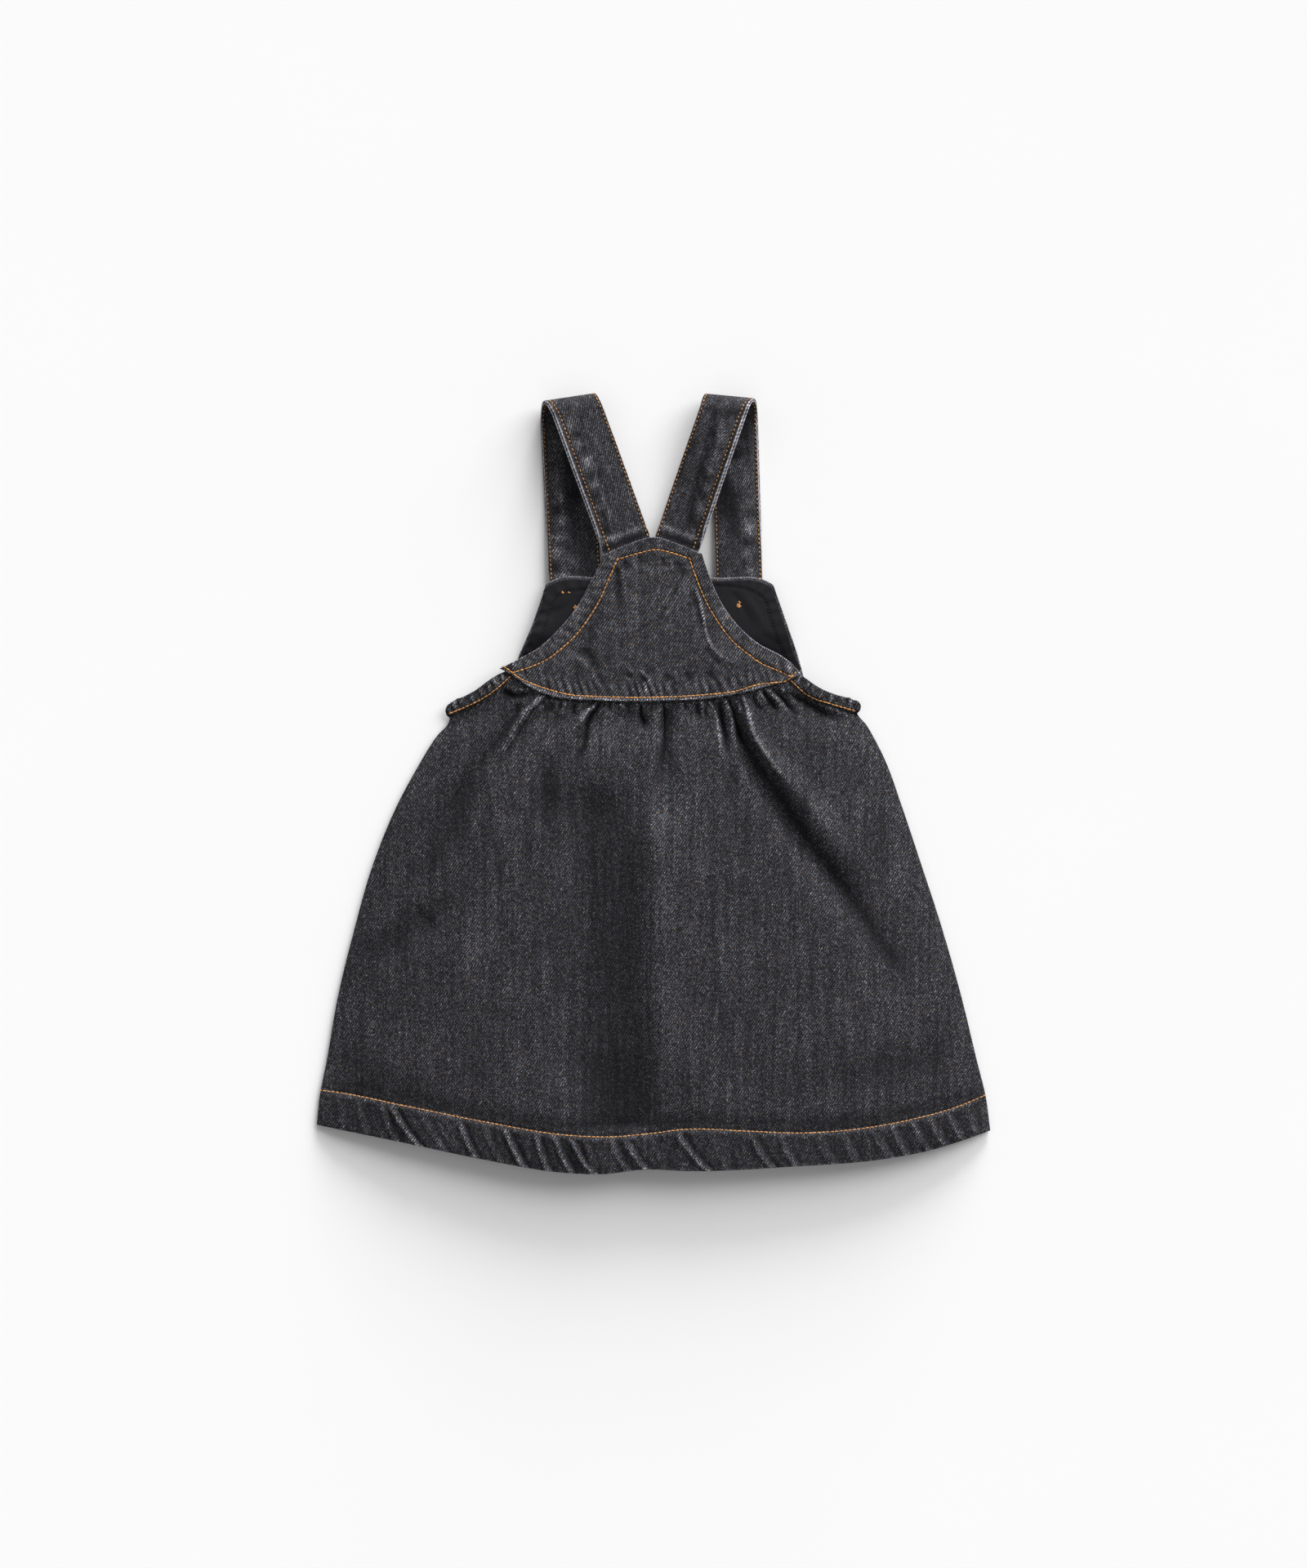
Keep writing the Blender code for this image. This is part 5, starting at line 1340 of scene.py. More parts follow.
    def lining_outline(self) -> PanelPlan:
        """Plan of the lining, a little inside the bib."""
        top = [(x * 0.985, y - self.lining_inset) for x, y in BIB_TOP]
        bottom = [(x * 0.985, y + self.bib_lap + 1.0) for x, y in BIB_BOTTOM]
        left = [top[0]] + [(x + self.lining_inset, y) for x, y in BIB_LEFT[1:-1]] + [bottom[0]]
        right = [top[-1]] + [(x - self.lining_inset, y) for x, y in BIB_RIGHT[1:-1]] + [bottom[-1]]
        return panel(top, bottom, left, right)

    def build_lining(self, finish: Material) -> Object:
        """Make the bib's lining, with its sewn margin and soft creases."""
        s, t = panel_grid(*self.lining_grid)
        point = self.lining_outline().at(s, t)
        x, y = point[..., 0], point[..., 1]
        edge = np.minimum(np.minimum(s, 1 - s) * self.bib_width, t * self.lining_depth)
        near, along, side = self.lining_seam.distance(x, y, 48)
        relief = -0.3 * bell(near, 0.8) + 0.12 * smooth_step(side, 0.0, 1.5)
        relief += 0.22 * puckers(along * self.lining_seam.length, 6.5) * bell(side - 3.0, 3.4)
        for fold in LINING_FOLDS:
            relief += fold.depth * fold.profile(x, y)
        lift = DENIM_WALL / 2 + SEAM_GAP + LINING_WALL / 2
        wall = LINING_WALL + np.clip(relief, -0.5, 0.5)
        middle = np.stack([x, y, self.bib_form(x, y) + lift + (wall - LINING_WALL) / 2], axis=-1)
        # Edge lighter as wear; painted light and shade following the lining's relief, painted shade along its
        # sewn groove, and the whole a touch darker.
        wear_and_shade = 0.3 * bell(edge, 0.8) + 0.9 * relief - 0.4 * bell(near, 0.7) - 0.05
        self.lining = ClothWall("bib_lining_cloth", middle, wall, middle[..., :2], wear_and_shade)
        return self.lining.build(finish)


# --------------------------------------------------------------------------
# Straps
# --------------------------------------------------------------------------


@dataclass(frozen=True)
class Patch:
    """Soft worn (above zero) or darker spot on one leg of a strap; the long dark spots on the front legs are
    painted shadow of the back leg.
    """

    leg: str
    place: Point2
    reach: Point2
    wear_and_shade_amount: float

    def share(self, x: Array, y: Array) -> Array:
        """Share of the spot's strength at plan points."""
        return bell(np.hypot((x - self.place[0]) / self.reach[0], (y - self.place[1]) / self.reach[1]), 1.15)


def patches(leg: str, *spots: tuple[float, float, float, float, float]) -> tuple[Patch, ...]:
    """Spots of one leg, each as plan x, y, reach across, reach along and wear, below zero a darker spot."""
    return tuple(Patch(leg, spot[:2], spot[2:4], spot[4]) for spot in spots)


# On the front legs, the long dark spots beside the back leg are painted shadow of the back leg.
LEFT_PATCHES: tuple[Patch, ...] = patches(
    "back",
    (-54.0, 232.0, 2.0, 6.0, 0.8), (-49.5, 222.0, 3.0, 4.5, 0.5), (-47.0, 213.0, 2.2, 2.6, -1.0),
    (-45.5, 207.5, 2.0, 2.2, 0.7), (-42.5, 203.5, 1.8, 2.6, -0.9), (-41.5, 196.0, 2.8, 3.4, 0.8),
    (-38.5, 188.0, 2.4, 3.0, -0.9), (-36.5, 182.0, 2.6, 2.4, 0.7), (-35.2, 175.0, 2.0, 3.4, -1.0),
    (-32.6, 169.5, 1.6, 1.8, 0.5), (-31.0, 165.5, 2.2, 2.6, -1.1), (-28.4, 156.0, 2.0, 4.0, -1.1),
    (-27.0, 163.5, 1.2, 4.5, 0.9), (-30.8, 176.0, 1.2, 5.0, 0.8), (-35.0, 189.0, 1.2, 6.0, 0.9),
    (-38.8, 199.0, 1.2, 5.0, 0.7), (-30.0, 151.5, 3.6, 1.5, 0.6), (-44.0, 222.0, 1.5, 5.0, -0.6),
    (-38.5, 206.0, 1.4, 5.0, -0.6),
    (-33.6, 192.0, 1.3, 7.0, -0.7), (-29.4, 180.0, 1.3, 7.0, -0.5),
) + patches(
    "front",
    (-61.0, 224.0, 6.0, 8.0, -0.3), (-61.5, 206.0, 3.0, 6.0, 0.3), (-60.0, 187.0, 3.6, 5.0, 0.7),
    (-57.0, 176.0, 2.6, 4.5, 0.9), (-61.5, 172.0, 2.0, 3.0, 0.5), (-59.0, 167.0, 2.4, 2.4, -0.9),
    (-56.0, 161.5, 2.2, 4.0, 1.1), (-60.5, 156.0, 3.0, 2.4, -0.5), (-57.5, 150.5, 4.5, 2.4, 0.8),
    (-60.0, 141.0, 3.6, 3.6, 1.2), (-61.0, 132.0, 4.0, 2.6, -1.0), (-56.0, 127.0, 8.0, 1.8, 1.0),
    (-50.0, 138.0, 3.6, 3.4, 0.6), (-48.5, 176.0, 5.0, 34.0, -0.8), (-41.0, 136.0, 3.6, 14.0, -0.9),
    (-53.5, 200.0, 2.4, 14.0, -0.6),
)
RIGHT_PATCHES: tuple[Patch, ...] = patches(
    "back",
    (46.0, 226.0, 3.0, 3.0, -0.7), (37.5, 226.0, 1.6, 5.0, -0.6), (36.6, 214.0, 1.8, 5.0, -0.8),
    (33.0, 204.0, 1.6, 5.0, -0.8), (30.0, 194.0, 1.5, 5.0, -0.8), (27.2, 184.0, 1.5, 5.0, -0.8),
    (24.6, 173.0, 1.6, 5.0, -0.8), (22.8, 163.0, 1.8, 5.0, -0.7), (42.0, 215.0, 2.4, 5.5, 0.8),
    (41.5, 232.0, 4.0, 2.5, 0.4), (36.8, 206.5, 1.6, 2.2, -0.5), (38.5, 200.0, 2.2, 3.4, 0.9),
    (35.4, 192.5, 2.2, 2.4, 0.7), (32.4, 187.0, 2.2, 2.6, -0.8), (33.6, 181.0, 2.2, 2.6, 0.9),
    (30.2, 176.0, 1.8, 2.2, -0.5), (28.8, 168.0, 2.2, 4.0, 0.8), (26.0, 160.0, 1.8, 2.6, -0.6),
    (30.0, 224.0, 3.0, 9.0, 0.3),
) + patches(
    "front",
    (58.5, 229.0, 6.0, 8.0, -1.6), (55.0, 214.0, 6.0, 7.0, -0.7), (49.0, 202.0, 2.6, 4.0, -0.9),
    (56.0, 203.0, 4.5, 2.6, -0.6), (53.5, 193.5, 7.0, 4.0, 0.6), (62.0, 211.0, 1.6, 6.0, 0.5),
    (43.0, 184.0, 3.4, 8.0, -1.2), (46.0, 171.0, 4.4, 8.0, -1.3), (49.5, 158.0, 3.4, 9.0, -1.0),
    (55.0, 180.0, 4.6, 6.0, 0.5), (60.5, 172.0, 3.0, 4.0, 0.4), (57.0, 165.5, 4.6, 1.8, -0.5),
    (59.5, 157.0, 3.2, 4.0, 1.0), (56.8, 147.5, 2.4, 2.2, -1.0), (57.0, 141.5, 2.4, 2.6, 1.0),
    (55.0, 134.5, 2.4, 2.6, -0.9), (60.0, 130.5, 4.0, 2.6, 1.0), (46.0, 140.0, 4.5, 14.0, -0.3),
)


@dataclass
class Strap:
    """Strap of doubled denim from the yoke, round its loop and down to the bib."""

    side: str
    yoke: Point2
    loop: Point2
    front_turn: float
    slip: float
    button: Point2
    patches: tuple[Patch, ...]
    trims: Point2 = (0.0, 0.0)
    width: float = 31.5
    tuck: float = 4.0
    radius: float = 8.5
    flare: float = 0.8
    roll: float = 2.2
    yoke_height: float = 7.4
    floor_height: float = 1.3
    bib_height: float = 3.9
    end_y: float = 97.5
    rise_y: Point2 = (128.0, 175.0)
    seam_inset: float = 1.5
    curled_seam_inset: float = 4.2
    curl_run: float = 3.2
    curl_radius: float = 2.6
    columns: int = 49
    leg_rows: tuple[int, int, int] = (90, 52, 100)
    thread_sink: float = 0.12
    cloth: ClothWall = field(init=False)

    def __post_init__(self) -> None:
        """Work out the strap's directions and lengths."""
        yoke, loop = np.array(self.yoke), np.array(self.loop)
        self._run = (loop - yoke) / np.linalg.norm(loop - yoke)
        outward = np.array([self._run[1], -self._run[0]])
        self._outward = outward if outward[0] * yoke[0] > 0 else -outward
        back_angle = math.atan2(self._run[1], self._run[0])
        self._front_angle = math.radians(270.0 + self.front_turn)
        fold_angle = (back_angle + self._front_angle) / 2
        self._fold = np.array([math.cos(fold_angle), math.sin(fold_angle)])
        past = np.array([self._fold[1], -self._fold[0]])
        self._past = past if past[1] > 0 else -past
        self._side_sign = math.copysign(1.0, float(self._fold[0] * self._outward[0]))
        self._bend_start = float(loop @ self._past) - self.radius
        along_past = float(self._run @ self._past)
        self.back_length = (self._bend_start - float(yoke @ self._past)) / along_past
        self.front_from = self.back_length + math.pi * self.radius / along_past
        along_top = (yoke + self.front_from * self._run) @ self._fold
        front_top = along_top * self._fold + self._bend_start * self._past
        self.front_length = float(front_top[1] - self.end_y) / abs(math.sin(self._front_angle))

    def middle(self, b: Array, a: Array) -> Array:
        """Middle of the strap's wall.

        Args:
            b: Distance across, positive towards the strap's outer edge.
            a: Distance along, from the yoke's seam.

        Returns:
            Points in millimetres.
        """
        yoke, run, outward = self.yoke, self._run, self._outward
        wide = b
        half = self.width / 2
        in_front = smooth_step(a, self.back_length, self.front_from + 8.0)
        past_curl = np.clip(b - (self.width / 2 - self.curl_run), 0.0, None)
        bend = np.maximum(self.curl_share(a), 1e-3) / self.curl_radius
        b = b - past_curl + np.sin(bend * past_curl) / bend
        curl = (1 - np.cos(bend * past_curl)) / bend
        b = b - (1 - in_front) * self.trims[0] * (b + half) / self.width
        b = b + in_front * self.trims[1] * (half - b) / self.width
        flat_x = yoke[0] + a * run[0] + b * outward[0]
        flat_y = yoke[1] + a * run[1] + b * outward[1]
        along_fold = flat_x * self._fold[0] + flat_y * self._fold[1]
        over = flat_x * self._past[0] + flat_y * self._past[1] - self._bend_start
        edge = wide / (self.width / 2)
        radius = self.radius + self.flare * edge
        turn = np.clip(over / radius, 0.0, math.pi)
        round_loop = np.where(turn < math.pi, radius * np.sin(turn), -(over - math.pi * radius))
        reach = np.where(over < 0, over, round_loop) + self._bend_start
        along_fold = along_fold + self.slip * self._side_sign * turn / math.pi
        x = along_fold * self._fold[0] + reach * self._past[0]
        y = along_fold * self._fold[1] + reach * self._past[1]
        loop_height = self.floor_height + radius * (1 + np.cos(turn))
        risen = np.clip(a / self.back_length, 0.0, 1.0)
        back = self.yoke_height + (loop_height - self.yoke_height) * smooth_step(risen, -0.02, 1.0)
        back += self.roll * edge * np.sin(math.pi * risen)
        on_bib = 1 - smooth_step(y, *self.rise_y)
        front = loop_height + (self.bib_height - self.floor_height) * on_bib
        height = np.where(over < 0, back, np.where(turn < math.pi, loop_height, front))
        on_back = smooth_step(a, 6.0, 22.0) * (1 - smooth_step(turn, 0.4, 1.5))
        on_front = smooth_step(turn, 2.2, math.pi) * smooth_step(y, 120.0, 150.0)
        wave = 0.26 * puckers(a + 0.5 * wide, 13.0) * bell(wide - self.width / 2 + 8.0, 4.0)
        wave += 0.12 * puckers(a - 0.4 * wide, 6.5) * smooth_step(np.abs(edge), 0.5, 0.85)
        return np.stack([x, y, height + curl + wave * np.maximum(on_back, on_front)], axis=-1)

    def curl_share(self, a: Array) -> Array:
        """How far the outer edge is rolled up, from 0 to 1, at distances along the strap."""
        on_back = smooth_step(a, 2.0,
            16.0) * (1 - smooth_step(a, self.back_length + 8.0, self.back_length + 22.0))
        on_front = smooth_step(a, self.front_from, self.front_from + 10.0)
        on_front *= 1 - smooth_step(a, self.front_from + 60.0, self.front_from + 90.0)
        return on_back + 0.45 * on_front

    def seam_place(self, side: float, a: Array) -> Array:
        """Distance across of the sewn line on the outer (1) or inner (-1) edge."""
        inset = np.full_like(a, self.seam_inset)
        if side > 0:
            curled = 1 - smooth_step(a, self.back_length - 2.0, self.front_from + 2.0)
            inset = inset + (self.curled_seam_inset - self.seam_inset) * curled
        return side * (self.width / 2 - inset)

    def stations(self) -> Array:
        """Distances along the strap, closer together round the loop."""
        loop_start, loop_end = self.back_length - 4.0, self.front_from + 6.0
        back_rows, loop_rows, front_rows = self.leg_rows
        return np.concatenate([
            np.linspace(-self.tuck, loop_start, back_rows, endpoint=False),
            np.linspace(loop_start, loop_end, loop_rows, endpoint=False),
            np.linspace(loop_end, self.front_from + self.front_length, front_rows),
        ])

    def build(self, finish: Material) -> Object:
        """Make the strap."""
        half = self.width / 2
        even = np.linspace(-1.0, 1.0, self.columns)
        across = half * (0.72 * even + 0.28 * np.sin(even * math.pi / 2))
        b, a = np.meshgrid(across, self.stations())
        if self._outward[0] > 0:
            across, b = across[::-1], b[:, ::-1]
        middle = self.middle(b, a)
        edge = np.abs(b) / half
        seam = np.minimum(np.abs(b - self.seam_place(1.0, a)), np.abs(b - self.seam_place(-1.0, a)))
        wall = STRAP_WALL - 0.5 * bell(seam, 0.7)
        back = 1 - smooth_step(a, self.back_length - 4.0, self.back_length + 4.0)
        front = smooth_step(a, self.front_from - 4.0, self.front_from + 8.0)
        # Back leg: outer edge lighter as wear, with a thin painted shadow line inside the rolled edge; near
        # the yoke, a lighter streak and painted shadow of the yoke's top edge.
        wear_and_shade = back * (0.15 * bell(b - half + 8.0, 4.0) + 0.5 * smooth_step(b, half - 1.2, half - 0.6))
        wear_and_shade -= back * 0.45 * bell(b - half + 2.3, 0.6)
        wear_and_shade += back * (0.9 * bell(a - 7.0, 1.6) - 1.5 * bell(a - 2.2, 1.7))
        legs = {"back": back, "front": front}
        for patch in self.patches:
            strength = 0.85 if patch.wear_and_shade_amount > 0 else 1.15
            wear_and_shade += strength * patch.wear_and_shade_amount * patch.share(middle[..., 0], middle[..., 1]) * legs[patch.leg]
        # Faint mottle and worn outer edges; painted shade round the stitched grooves, and painted shade round
        # the loop's turn.
        wear_and_shade += 0.10 * puckers(a - b, 21.0) + 0.6 * smooth_step(edge, 0.93, 1.0) - 0.9 * bell(seam, 0.9)
        wear_and_shade -= 0.35 * (1 - back) * (1 - front)
        grain = np.stack([np.where(self._outward[0] > 0, b, -b), a], axis=-1)
        self.cloth = ClothWall(f"strap_{self.side}_cloth", middle, wall, grain, wear_and_shade, doubled=True)
        return self.cloth.build(finish)

    def seam_runs(self) -> Iterable[tuple[Array, Array]]:
        """Both topstitched lines, on both faces of the strap."""
        a = np.arange(1.0, self.front_from + self.front_length - 3.0, 1.0)
        step = 0.2
        stand = STRAP_WALL / 2 - self.thread_sink
        for side in (-1.0, 1.0):
            b = self.seam_place(side, a)
            along = self.middle(b, a + step) - self.middle(b, a - step)
            across = self.middle(b + step, a) - self.middle(b - step, a)
            up = unit(np.cross(across, along))
            if up[0, 2] < 0:
                up = -up
            for face in (1.0, -1.0):
                yield self.middle(b, a) + up * face * stand, up * face
        across_end = np.arange(-self.width / 2 + self.seam_inset, self.width / 2 - self.seam_inset + 0.1, 1.0)
        a = np.full_like(across_end, self.front_from + self.front_length - self.seam_inset)
        point = self.middle(across_end, a)
        up = np.tile((0.0, 0.0, 1.0), (len(a), 1))
        yield point + up * stand, up
        yield point - up * stand, -up


STRAPS: tuple[Strap, ...] = (
    Strap("left", (-16.8, 146.2), (-49.6, 235.6), 3.0, 2.6, (-48.5, 108.5), LEFT_PATCHES, (0.8, 0.0)),
    Strap("right", (16.0, 146.6), (47.0, 235.8), 1.7, -1.6, (52.5, 108.8), RIGHT_PATCHES, (3.2, 3.8)),
)


# --------------------------------------------------------------------------
# Sewing
# --------------------------------------------------------------------------


@dataclass(frozen=True)
class StitchStyle:
    """Sizes of a row of stitches, in metres."""

    pitch: float = 2.7 * MM
    length: float = 2.25 * MM
    thread_radius: float = 0.42 * MM
    dip: float = 0.30 * MM
    lean: float = 0.10
    seed: int = 7


def stitch_tree() -> NodeTree:
    """Geometry Nodes that lay stitches along lines, each line a run of edges.

    Returns:
        The tree. The lines carry the cloth's direction as "up".
    """
    tree = bpy.data.node_groups.new("stitches_along_seams", "GeometryNodeTree")
    sockets = (("Lines", "Geometry"), ("Pitch", "Float"), ("Stitch Length", "Float"),
               ("Thread Radius", "Float"),
               ("Dip", "Float"), ("Lean", "Float"), ("Seed", "Int"), ("Thread", "Material"))
    for name, kind in sockets:
        tree.interface.new_socket(name=name, in_out="INPUT", socket_type="NodeSocket" + kind)
    tree.interface.new_socket(name="Stitches", in_out="OUTPUT", socket_type="NodeSocketGeometry")
    board = NodeBoard(tree)
    given = board.node("NodeGroupInput").outputs

    half = board.math("MULTIPLY", given["Stitch Length"], 0.5)
    start = board.node("ShaderNodeCombineXYZ", {"X": board.math("MULTIPLY", half, -1.0)})
    end = board.node("ShaderNodeCombineXYZ", {"X": half})
    line = board.node("GeometryNodeCurvePrimitiveLine", {"Start": start.outputs[0], "End": end.outputs[0]})
    thread = board.node("GeometryNodeResampleCurve", {"Curve": line.outputs["Curve"], "Count": 6})
    place = board.node("ShaderNodeSeparateXYZ", {0: board.node("GeometryNodeInputPosition").outputs[0]})
    share = board.math("DIVIDE", place.outputs["X"], half)
    square = board.math("MULTIPLY", share, share)
    fall = board.math("MULTIPLY", board.math("MULTIPLY", square, given["Dip"]), -1.0)
    offset = board.node("ShaderNodeCombineXYZ", {"Z": fall})
    arched = board.node("GeometryNodeSetPosition",
                        {"Geometry": thread.outputs["Curve"], "Offset": offset.outputs[0]})
    taper = board.math("SUBTRACT", 1.0, board.math("MULTIPLY", board.math("MULTIPLY", square, square), 0.55))
    sized = board.node("GeometryNodeSetCurveRadius", {"Curve": arched.outputs[0], "Radius": taper})
    ring = board.node("GeometryNodeCurvePrimitiveCircle", {"Resolution": 6, "Radius": given["Thread Radius"]})
    tube = board.node("GeometryNodeCurveToMesh", {
        "Curve": sized.outputs[0], "Profile Curve": ring.outputs["Curve"], "Fill Caps": True,
    })
    if "Scale" in tube.inputs:
        board.feed(tube.inputs["Scale"], taper)

    curves = board.node("GeometryNodeMeshToCurve", {0: given["Lines"]})
    spots = board.node("GeometryNodeResampleCurve", {"Curve": curves.outputs[0], "Length": given["Pitch"]},
        mode="LENGTH")
    up = board.node("GeometryNodeInputNamedAttribute", {"Name": "up"}, data_type="FLOAT_VECTOR")
    jitter = board.node("FunctionNodeRandomValue", data_type="FLOAT_VECTOR")
    low = board.node("ShaderNodeCombineXYZ",
        {axis: board.math("MULTIPLY", given["Lean"], -1.0) for axis in "XY"})
    high = board.node("ShaderNodeCombineXYZ", {axis: given["Lean"] for axis in "XY"})
    board.fill(jitter, {"Min": low.outputs[0], "Max": high.outputs[0], "Seed": given["Seed"]})
    tangent = board.node("GeometryNodeInputTangent").outputs[0]
    way = board.node("ShaderNodeVectorMath", {0: tangent, 1: jitter.outputs[0]}, operation="ADD").outputs[0]
    stand = board.node("FunctionNodeAlignRotationToVector", {"Vector": up.outputs[0]}, axis="Z")
    turned = board.node("FunctionNodeAlignRotationToVector",
                        {"Rotation": stand.outputs[0], "Vector": way}, axis="X", pivot_axis="Z")
    size = board.node("FunctionNodeRandomValue", data_type="FLOAT_VECTOR")
    board.fill(size, {"Min": (0.88, 0.85, 0.85), "Max": (1.06, 1.10, 1.10), "Seed": given["Seed"]})
    laid = board.node("GeometryNodeInstanceOnPoints", {
        "Points": spots.outputs["Curve"], "Instance": tube.outputs[0],
        "Rotation": turned.outputs[0], "Scale": size.outputs[0],
    })
    smooth = board.node("GeometryNodeSetShadeSmooth", {0: laid.outputs[0]})
    real = board.node("GeometryNodeRealizeInstances", {0: smooth.outputs[0]})
    dressed = board.node("GeometryNodeSetMaterial",
        {"Geometry": real.outputs[0], "Material": given["Thread"]})
    board.node("NodeGroupOutput", {0: dressed.outputs[0]})
    return tree


# Knots of button thread on the lining, each with its reach.
BUTTON_THREADS: tuple[tuple[Point2, float], ...] = (
    ((-47.6, 107.6), 1.0), ((-45.8, 108.6), 0.35), ((51.9, 108.8), 1.1), ((52.4, 110.9), 0.3),
    ((-55.6, 116.9), 0.3), ((-51.8, 116.9), 0.3),
)


@dataclass
class Stitching:
    """All rows of one thread, laid on the cloth as one piece."""

    name: str
    thread: Material
    style: StitchStyle = StitchStyle()
    runs: list[tuple[Array, Array]] = field(default_factory=list)

    def add(self, points: Array, ups: Array) -> None:
        """Add one row: its points and the cloth's direction at each."""
        if len(points) > 1:
            self.runs.append((points, ups))

    def build(self, tree: NodeTree) -> Object:
        """Lay the stitches.

        Args:
            tree: The tree that stitch_tree() makes.

        Returns:
            One plain mesh with every stitch.
        """
        points = np.concatenate([points for points, _ in self.runs]) * MM
        ups = np.concatenate([ups for _, ups in self.runs])
        edges, first = [], 0
        for run, _ in self.runs:
            edges += [(first + index, first + index + 1) for index in range(len(run) - 1)]
            first += len(run)
        lines = bpy.data.meshes.new(self.name + "_lines")
        lines.from_pydata(points.tolist(), edges, [])
        lines.attributes.new("up", "FLOAT_VECTOR", "POINT").data.foreach_set("vector", ups.ravel())
        source = new_object(self.name + "_lines", lines)
        modifier = source.modifiers.new("stitches", "NODES")
        modifier.node_group = tree
        values = {
            "Pitch": self.style.pitch, "Stitch Length": self.style.length,
            "Thread Radius": self.style.thread_radius, "Dip": self.style.dip, "Lean": self.style.lean,
            "Seed": self.style.seed, "Thread": self.thread,
        }
        for item in tree.interface.items_tree:
            if item.in_out == "INPUT" and item.name in values:
                modifier[item.identifier] = values[item.name]
        seen = source.evaluated_get(bpy.context.evaluated_depsgraph_get())
        mesh = bpy.data.meshes.new_from_object(seen)
        mesh.name = self.name
        bpy.data.objects.remove(source, do_unlink=True)
        sewn = new_object(self.name, mesh)
        log.info("%s: %d faces in %d rows", self.name, len(mesh.polygons), len(self.runs))
        return sewn


# --------------------------------------------------------------------------
# Studio
# --------------------------------------------------------------------------


@dataclass
class Studio:
    """Pale floor, soft light from the upper right, and the camera straight above."""

    camera_height: float = 4.0
    lens: float = 150.0
    sensor: float = 36.0
    suns: tuple[tuple[str, tuple[float, float, float], float, float], ...] = (
        ("key", (0.60, 0.63, 0.50), 50.0, 2.6), ("window", (0.18, 0.96, 0.21), 24.0, 4.3),
    )
    sky: float = 0.345
    floor_size: float = 6.0
    floor_drop: float = 0.0002

    def build_floor(self) -> Object:
        """Make the floor."""
        half = self.floor_size / 2
        mesh = bpy.data.meshes.new("studio_floor")
        corners = [(-half, -half), (half, -half), (half, half), (-half, half)]
        mesh.from_pydata([(x, y, -self.floor_drop) for x, y in corners], [], [(0, 1, 2, 3)])
        mesh.materials.append(PaperFinish("studio_paper").material())
        return new_object("studio_floor", mesh)

    def build_lights(self) -> None:
        """Make both soft suns, each from where it shines, and the even sky."""
        scene = bpy.context.scene
        for name, source, spread, strength in self.suns:
            sun = bpy.data.lights.new(name, "SUN")
            sun.energy, sun.angle = strength, math.radians(spread)
            lamp = new_object(name, sun)
            lamp.rotation_euler = Vector(source).to_track_quat("Z", "Y").to_euler()
        world = bpy.data.worlds.new("studio")
        world.use_nodes = True
        sky = world.node_tree.nodes["Background"]
        sky.inputs["Color"].default_value = (1.0, 1.0, 1.0, 1.0)
        sky.inputs["Strength"].default_value = self.sky
        scene.world = world
        scene.view_settings.view_transform = "Standard"

    def build_camera(self) -> None:
        """Make the camera, straight above the origin."""
        lens = bpy.data.cameras.new("camera")
        lens.lens, lens.sensor_width, lens.sensor_fit = self.lens, self.sensor, "AUTO"
        camera = new_object("camera", lens)
        camera.location = (0.0, 0.0, self.camera_height)
        bpy.context.scene.camera = camera


# --------------------------------------------------------------------------
# The whole dress
# --------------------------------------------------------------------------


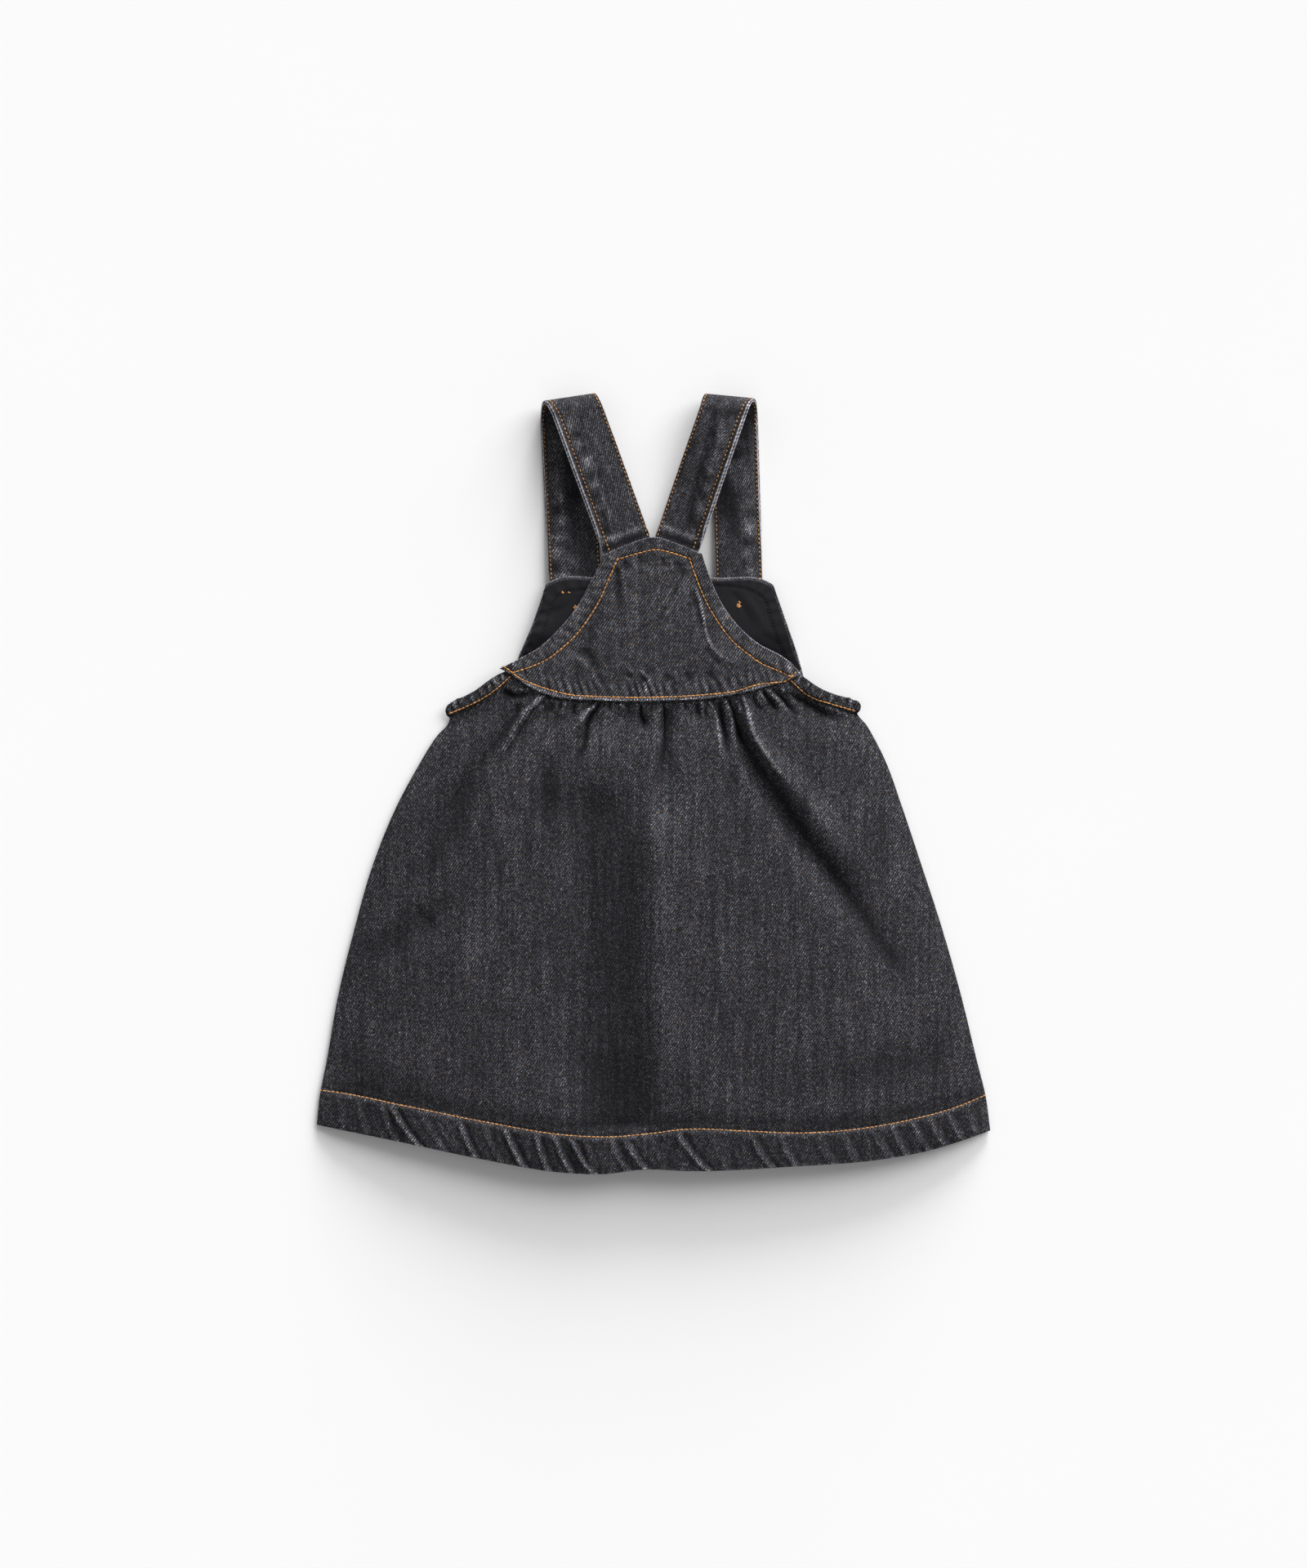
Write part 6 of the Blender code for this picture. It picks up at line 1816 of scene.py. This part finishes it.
@dataclass
class Dress:
    """The dress: its cloth and sewing, given to the body, and its buttons."""

    skirt: Skirt = field(default_factory=Skirt)
    bodice: Bodice = field(default_factory=Bodice)
    straps: tuple[Strap, ...] = STRAPS
    pieces: list[Object] = field(default_factory=list)

    def place(self, piece: Object, slot: str, *nodes: str) -> Object:
        """Give a piece to the body, and hide the nodes it stands for."""
        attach(piece, BODY)
        if nodes:
            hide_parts(*nodes)
        self.pieces.append(piece)
        return piece

    def build_cloth(self) -> None:
        """Make every piece of cloth."""
        skirt_denim = DenimFinish("skirt_denim").material()
        yoke_denim = DenimFinish("yoke_denim", fleck=0.051, twill=3.2, contrast=0.8, mottle=4.2,
            tint=1.15).material()
        strap_denim = DenimFinish("strap_denim", fleck=0.054, twill=2.8, contrast=0.82, mottle=3.4,
            tint=0.5).material()
        cotton = CottonFinish("lining_cotton").material()
        front = self.place(self.skirt.build_front(skirt_denim), "skirt_denim", "skirt_front")
        back = self.place(self.skirt.build_back(skirt_denim), "skirt_denim", "skirt_back")
        for side in Skirt.BAND_EDGES:
            node = f"underarm_band_{side}"
            band = self.place(self.skirt.build_band(side, skirt_denim), "skirt_denim", node)
        bib = self.place(self.bodice.build_bib(yoke_denim), "yoke_denim", "bib_front")
        lining = self.place(self.bodice.build_lining(cotton), "lining_cotton", "bib_lining")
        yoke = self.place(self.bodice.build_yoke(yoke_denim), "yoke_denim", "yoke_back")
        for strap in self.straps:
            cloth = self.place(strap.build(strap_denim), "strap_denim", f"strap_{strap.side}")

    def build_sewing(self) -> None:
        """Lay the topstitching, and the fine dark sewing on the lining."""
        tree = stitch_tree()
        orange = ThreadFinish("thread_orange", (0.20, 0.075, 0.014), (0.68, 0.31, 0.070)).material()
        faded = ThreadFinish("thread_orange_faded", (0.085, 0.036, 0.010), (0.52, 0.23, 0.055)).material()
        black = ThreadFinish("thread_black", (0.003, 0.003, 0.004), (0.012, 0.012, 0.014), 0.85,
            0.0).material()
        top = Stitching("topstitching", orange, StitchStyle(length=2.6 * MM, thread_radius=0.44 * MM))
        hem = Stitching("hem_topstitching", orange, StitchStyle(thread_radius=0.36 * MM, seed=5))
        edging = Stitching("strap_topstitching", faded,
            StitchStyle(length=1.75 * MM, thread_radius=0.42 * MM, seed=11))
        inner = Stitching("lining_stitches", black,
                          StitchStyle(pitch=2.2 * MM, length=1.6 * MM, thread_radius=0.24 * MM,
                                      dip=0.15 * MM, seed=3))
        knots = Stitching("button_threads", orange,
                          StitchStyle(pitch=0.7 * MM, length=1.5 * MM, thread_radius=0.26 * MM, lean=0.6,
                                      seed=2))
        for line in self.bodice.seams.values():
            top.add(*self.bodice.yoke.lay(line.spaced(1.0), lift=0.18))
        hem.add(*self.skirt.back.lay(self.skirt.hem_seam.spaced(1.0), lift=0.14))
        hem.add(*self.skirt.front.lay(self.skirt.hem_seam.spaced(1.0), above=False, lift=-0.27))
        for side, line in Skirt.BAND_SEAMS.items():
            seam = PlanCurve(line).spaced(1.0)
            top.add(*self.skirt.bands[side].lay(seam, lift=0.15))
        for strap in self.straps:
            for points, ups in strap.seam_runs():
                edging.add(points, ups)
        inner.add(*self.bodice.lining.lay(self.bodice.lining_seam.spaced(1.0), lift=0.08))
        for place, size in BUTTON_THREADS:
            star = [(place[0] + size * math.cos(2.4 * turn), place[1] + size * math.sin(2.4 * turn))
                    for turn in range(7)]
            knots.add(*self.bodice.lining.lay(np.array(star), lift=0.25))
        for strap in self.straps:
            for side in (-1.0, 1.0):
                run = np.linspace(-1.3, 1.3, 5)[:, None]
                strand = run * (1.0, 0.0, 0.0) + (*strap.button, 0.34) + np.array((0.0, 1.2 * side, 0.0))
                knots.add(strand, np.tile((0.0, 0.0, -1.0), (5, 1)))
        for piece in (top, hem, edging, knots):
            self.place(piece.build(tree), "thread_orange")
        self.place(inner.build(tree), "thread_black")

    def build_buttons(self) -> None:
        """Give the buttons their finish."""
        finish = ButtonFinish("button_resin").material()
        for strap in self.straps:
            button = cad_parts[f"button_{strap.side}"]
            button.material_slots[0].material = finish


def main() -> None:
    """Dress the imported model."""
    logging.basicConfig(level=logging.INFO, format="%(message)s")
    cad_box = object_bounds()
    dress = Dress()
    dress.build_cloth()
    dress.build_sewing()
    dress.build_buttons()
    studio = Studio()
    studio.build_floor()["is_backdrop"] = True
    studio.build_lights()
    studio.build_camera()
    boxes = {"cad": cad_box, "visual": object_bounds()}
    {name: [list(corner) for corner in box] for name, box in boxes.items()}
    log.info("%d pieces", len(dress.pieces))


if __name__ == "__main__":
    main()
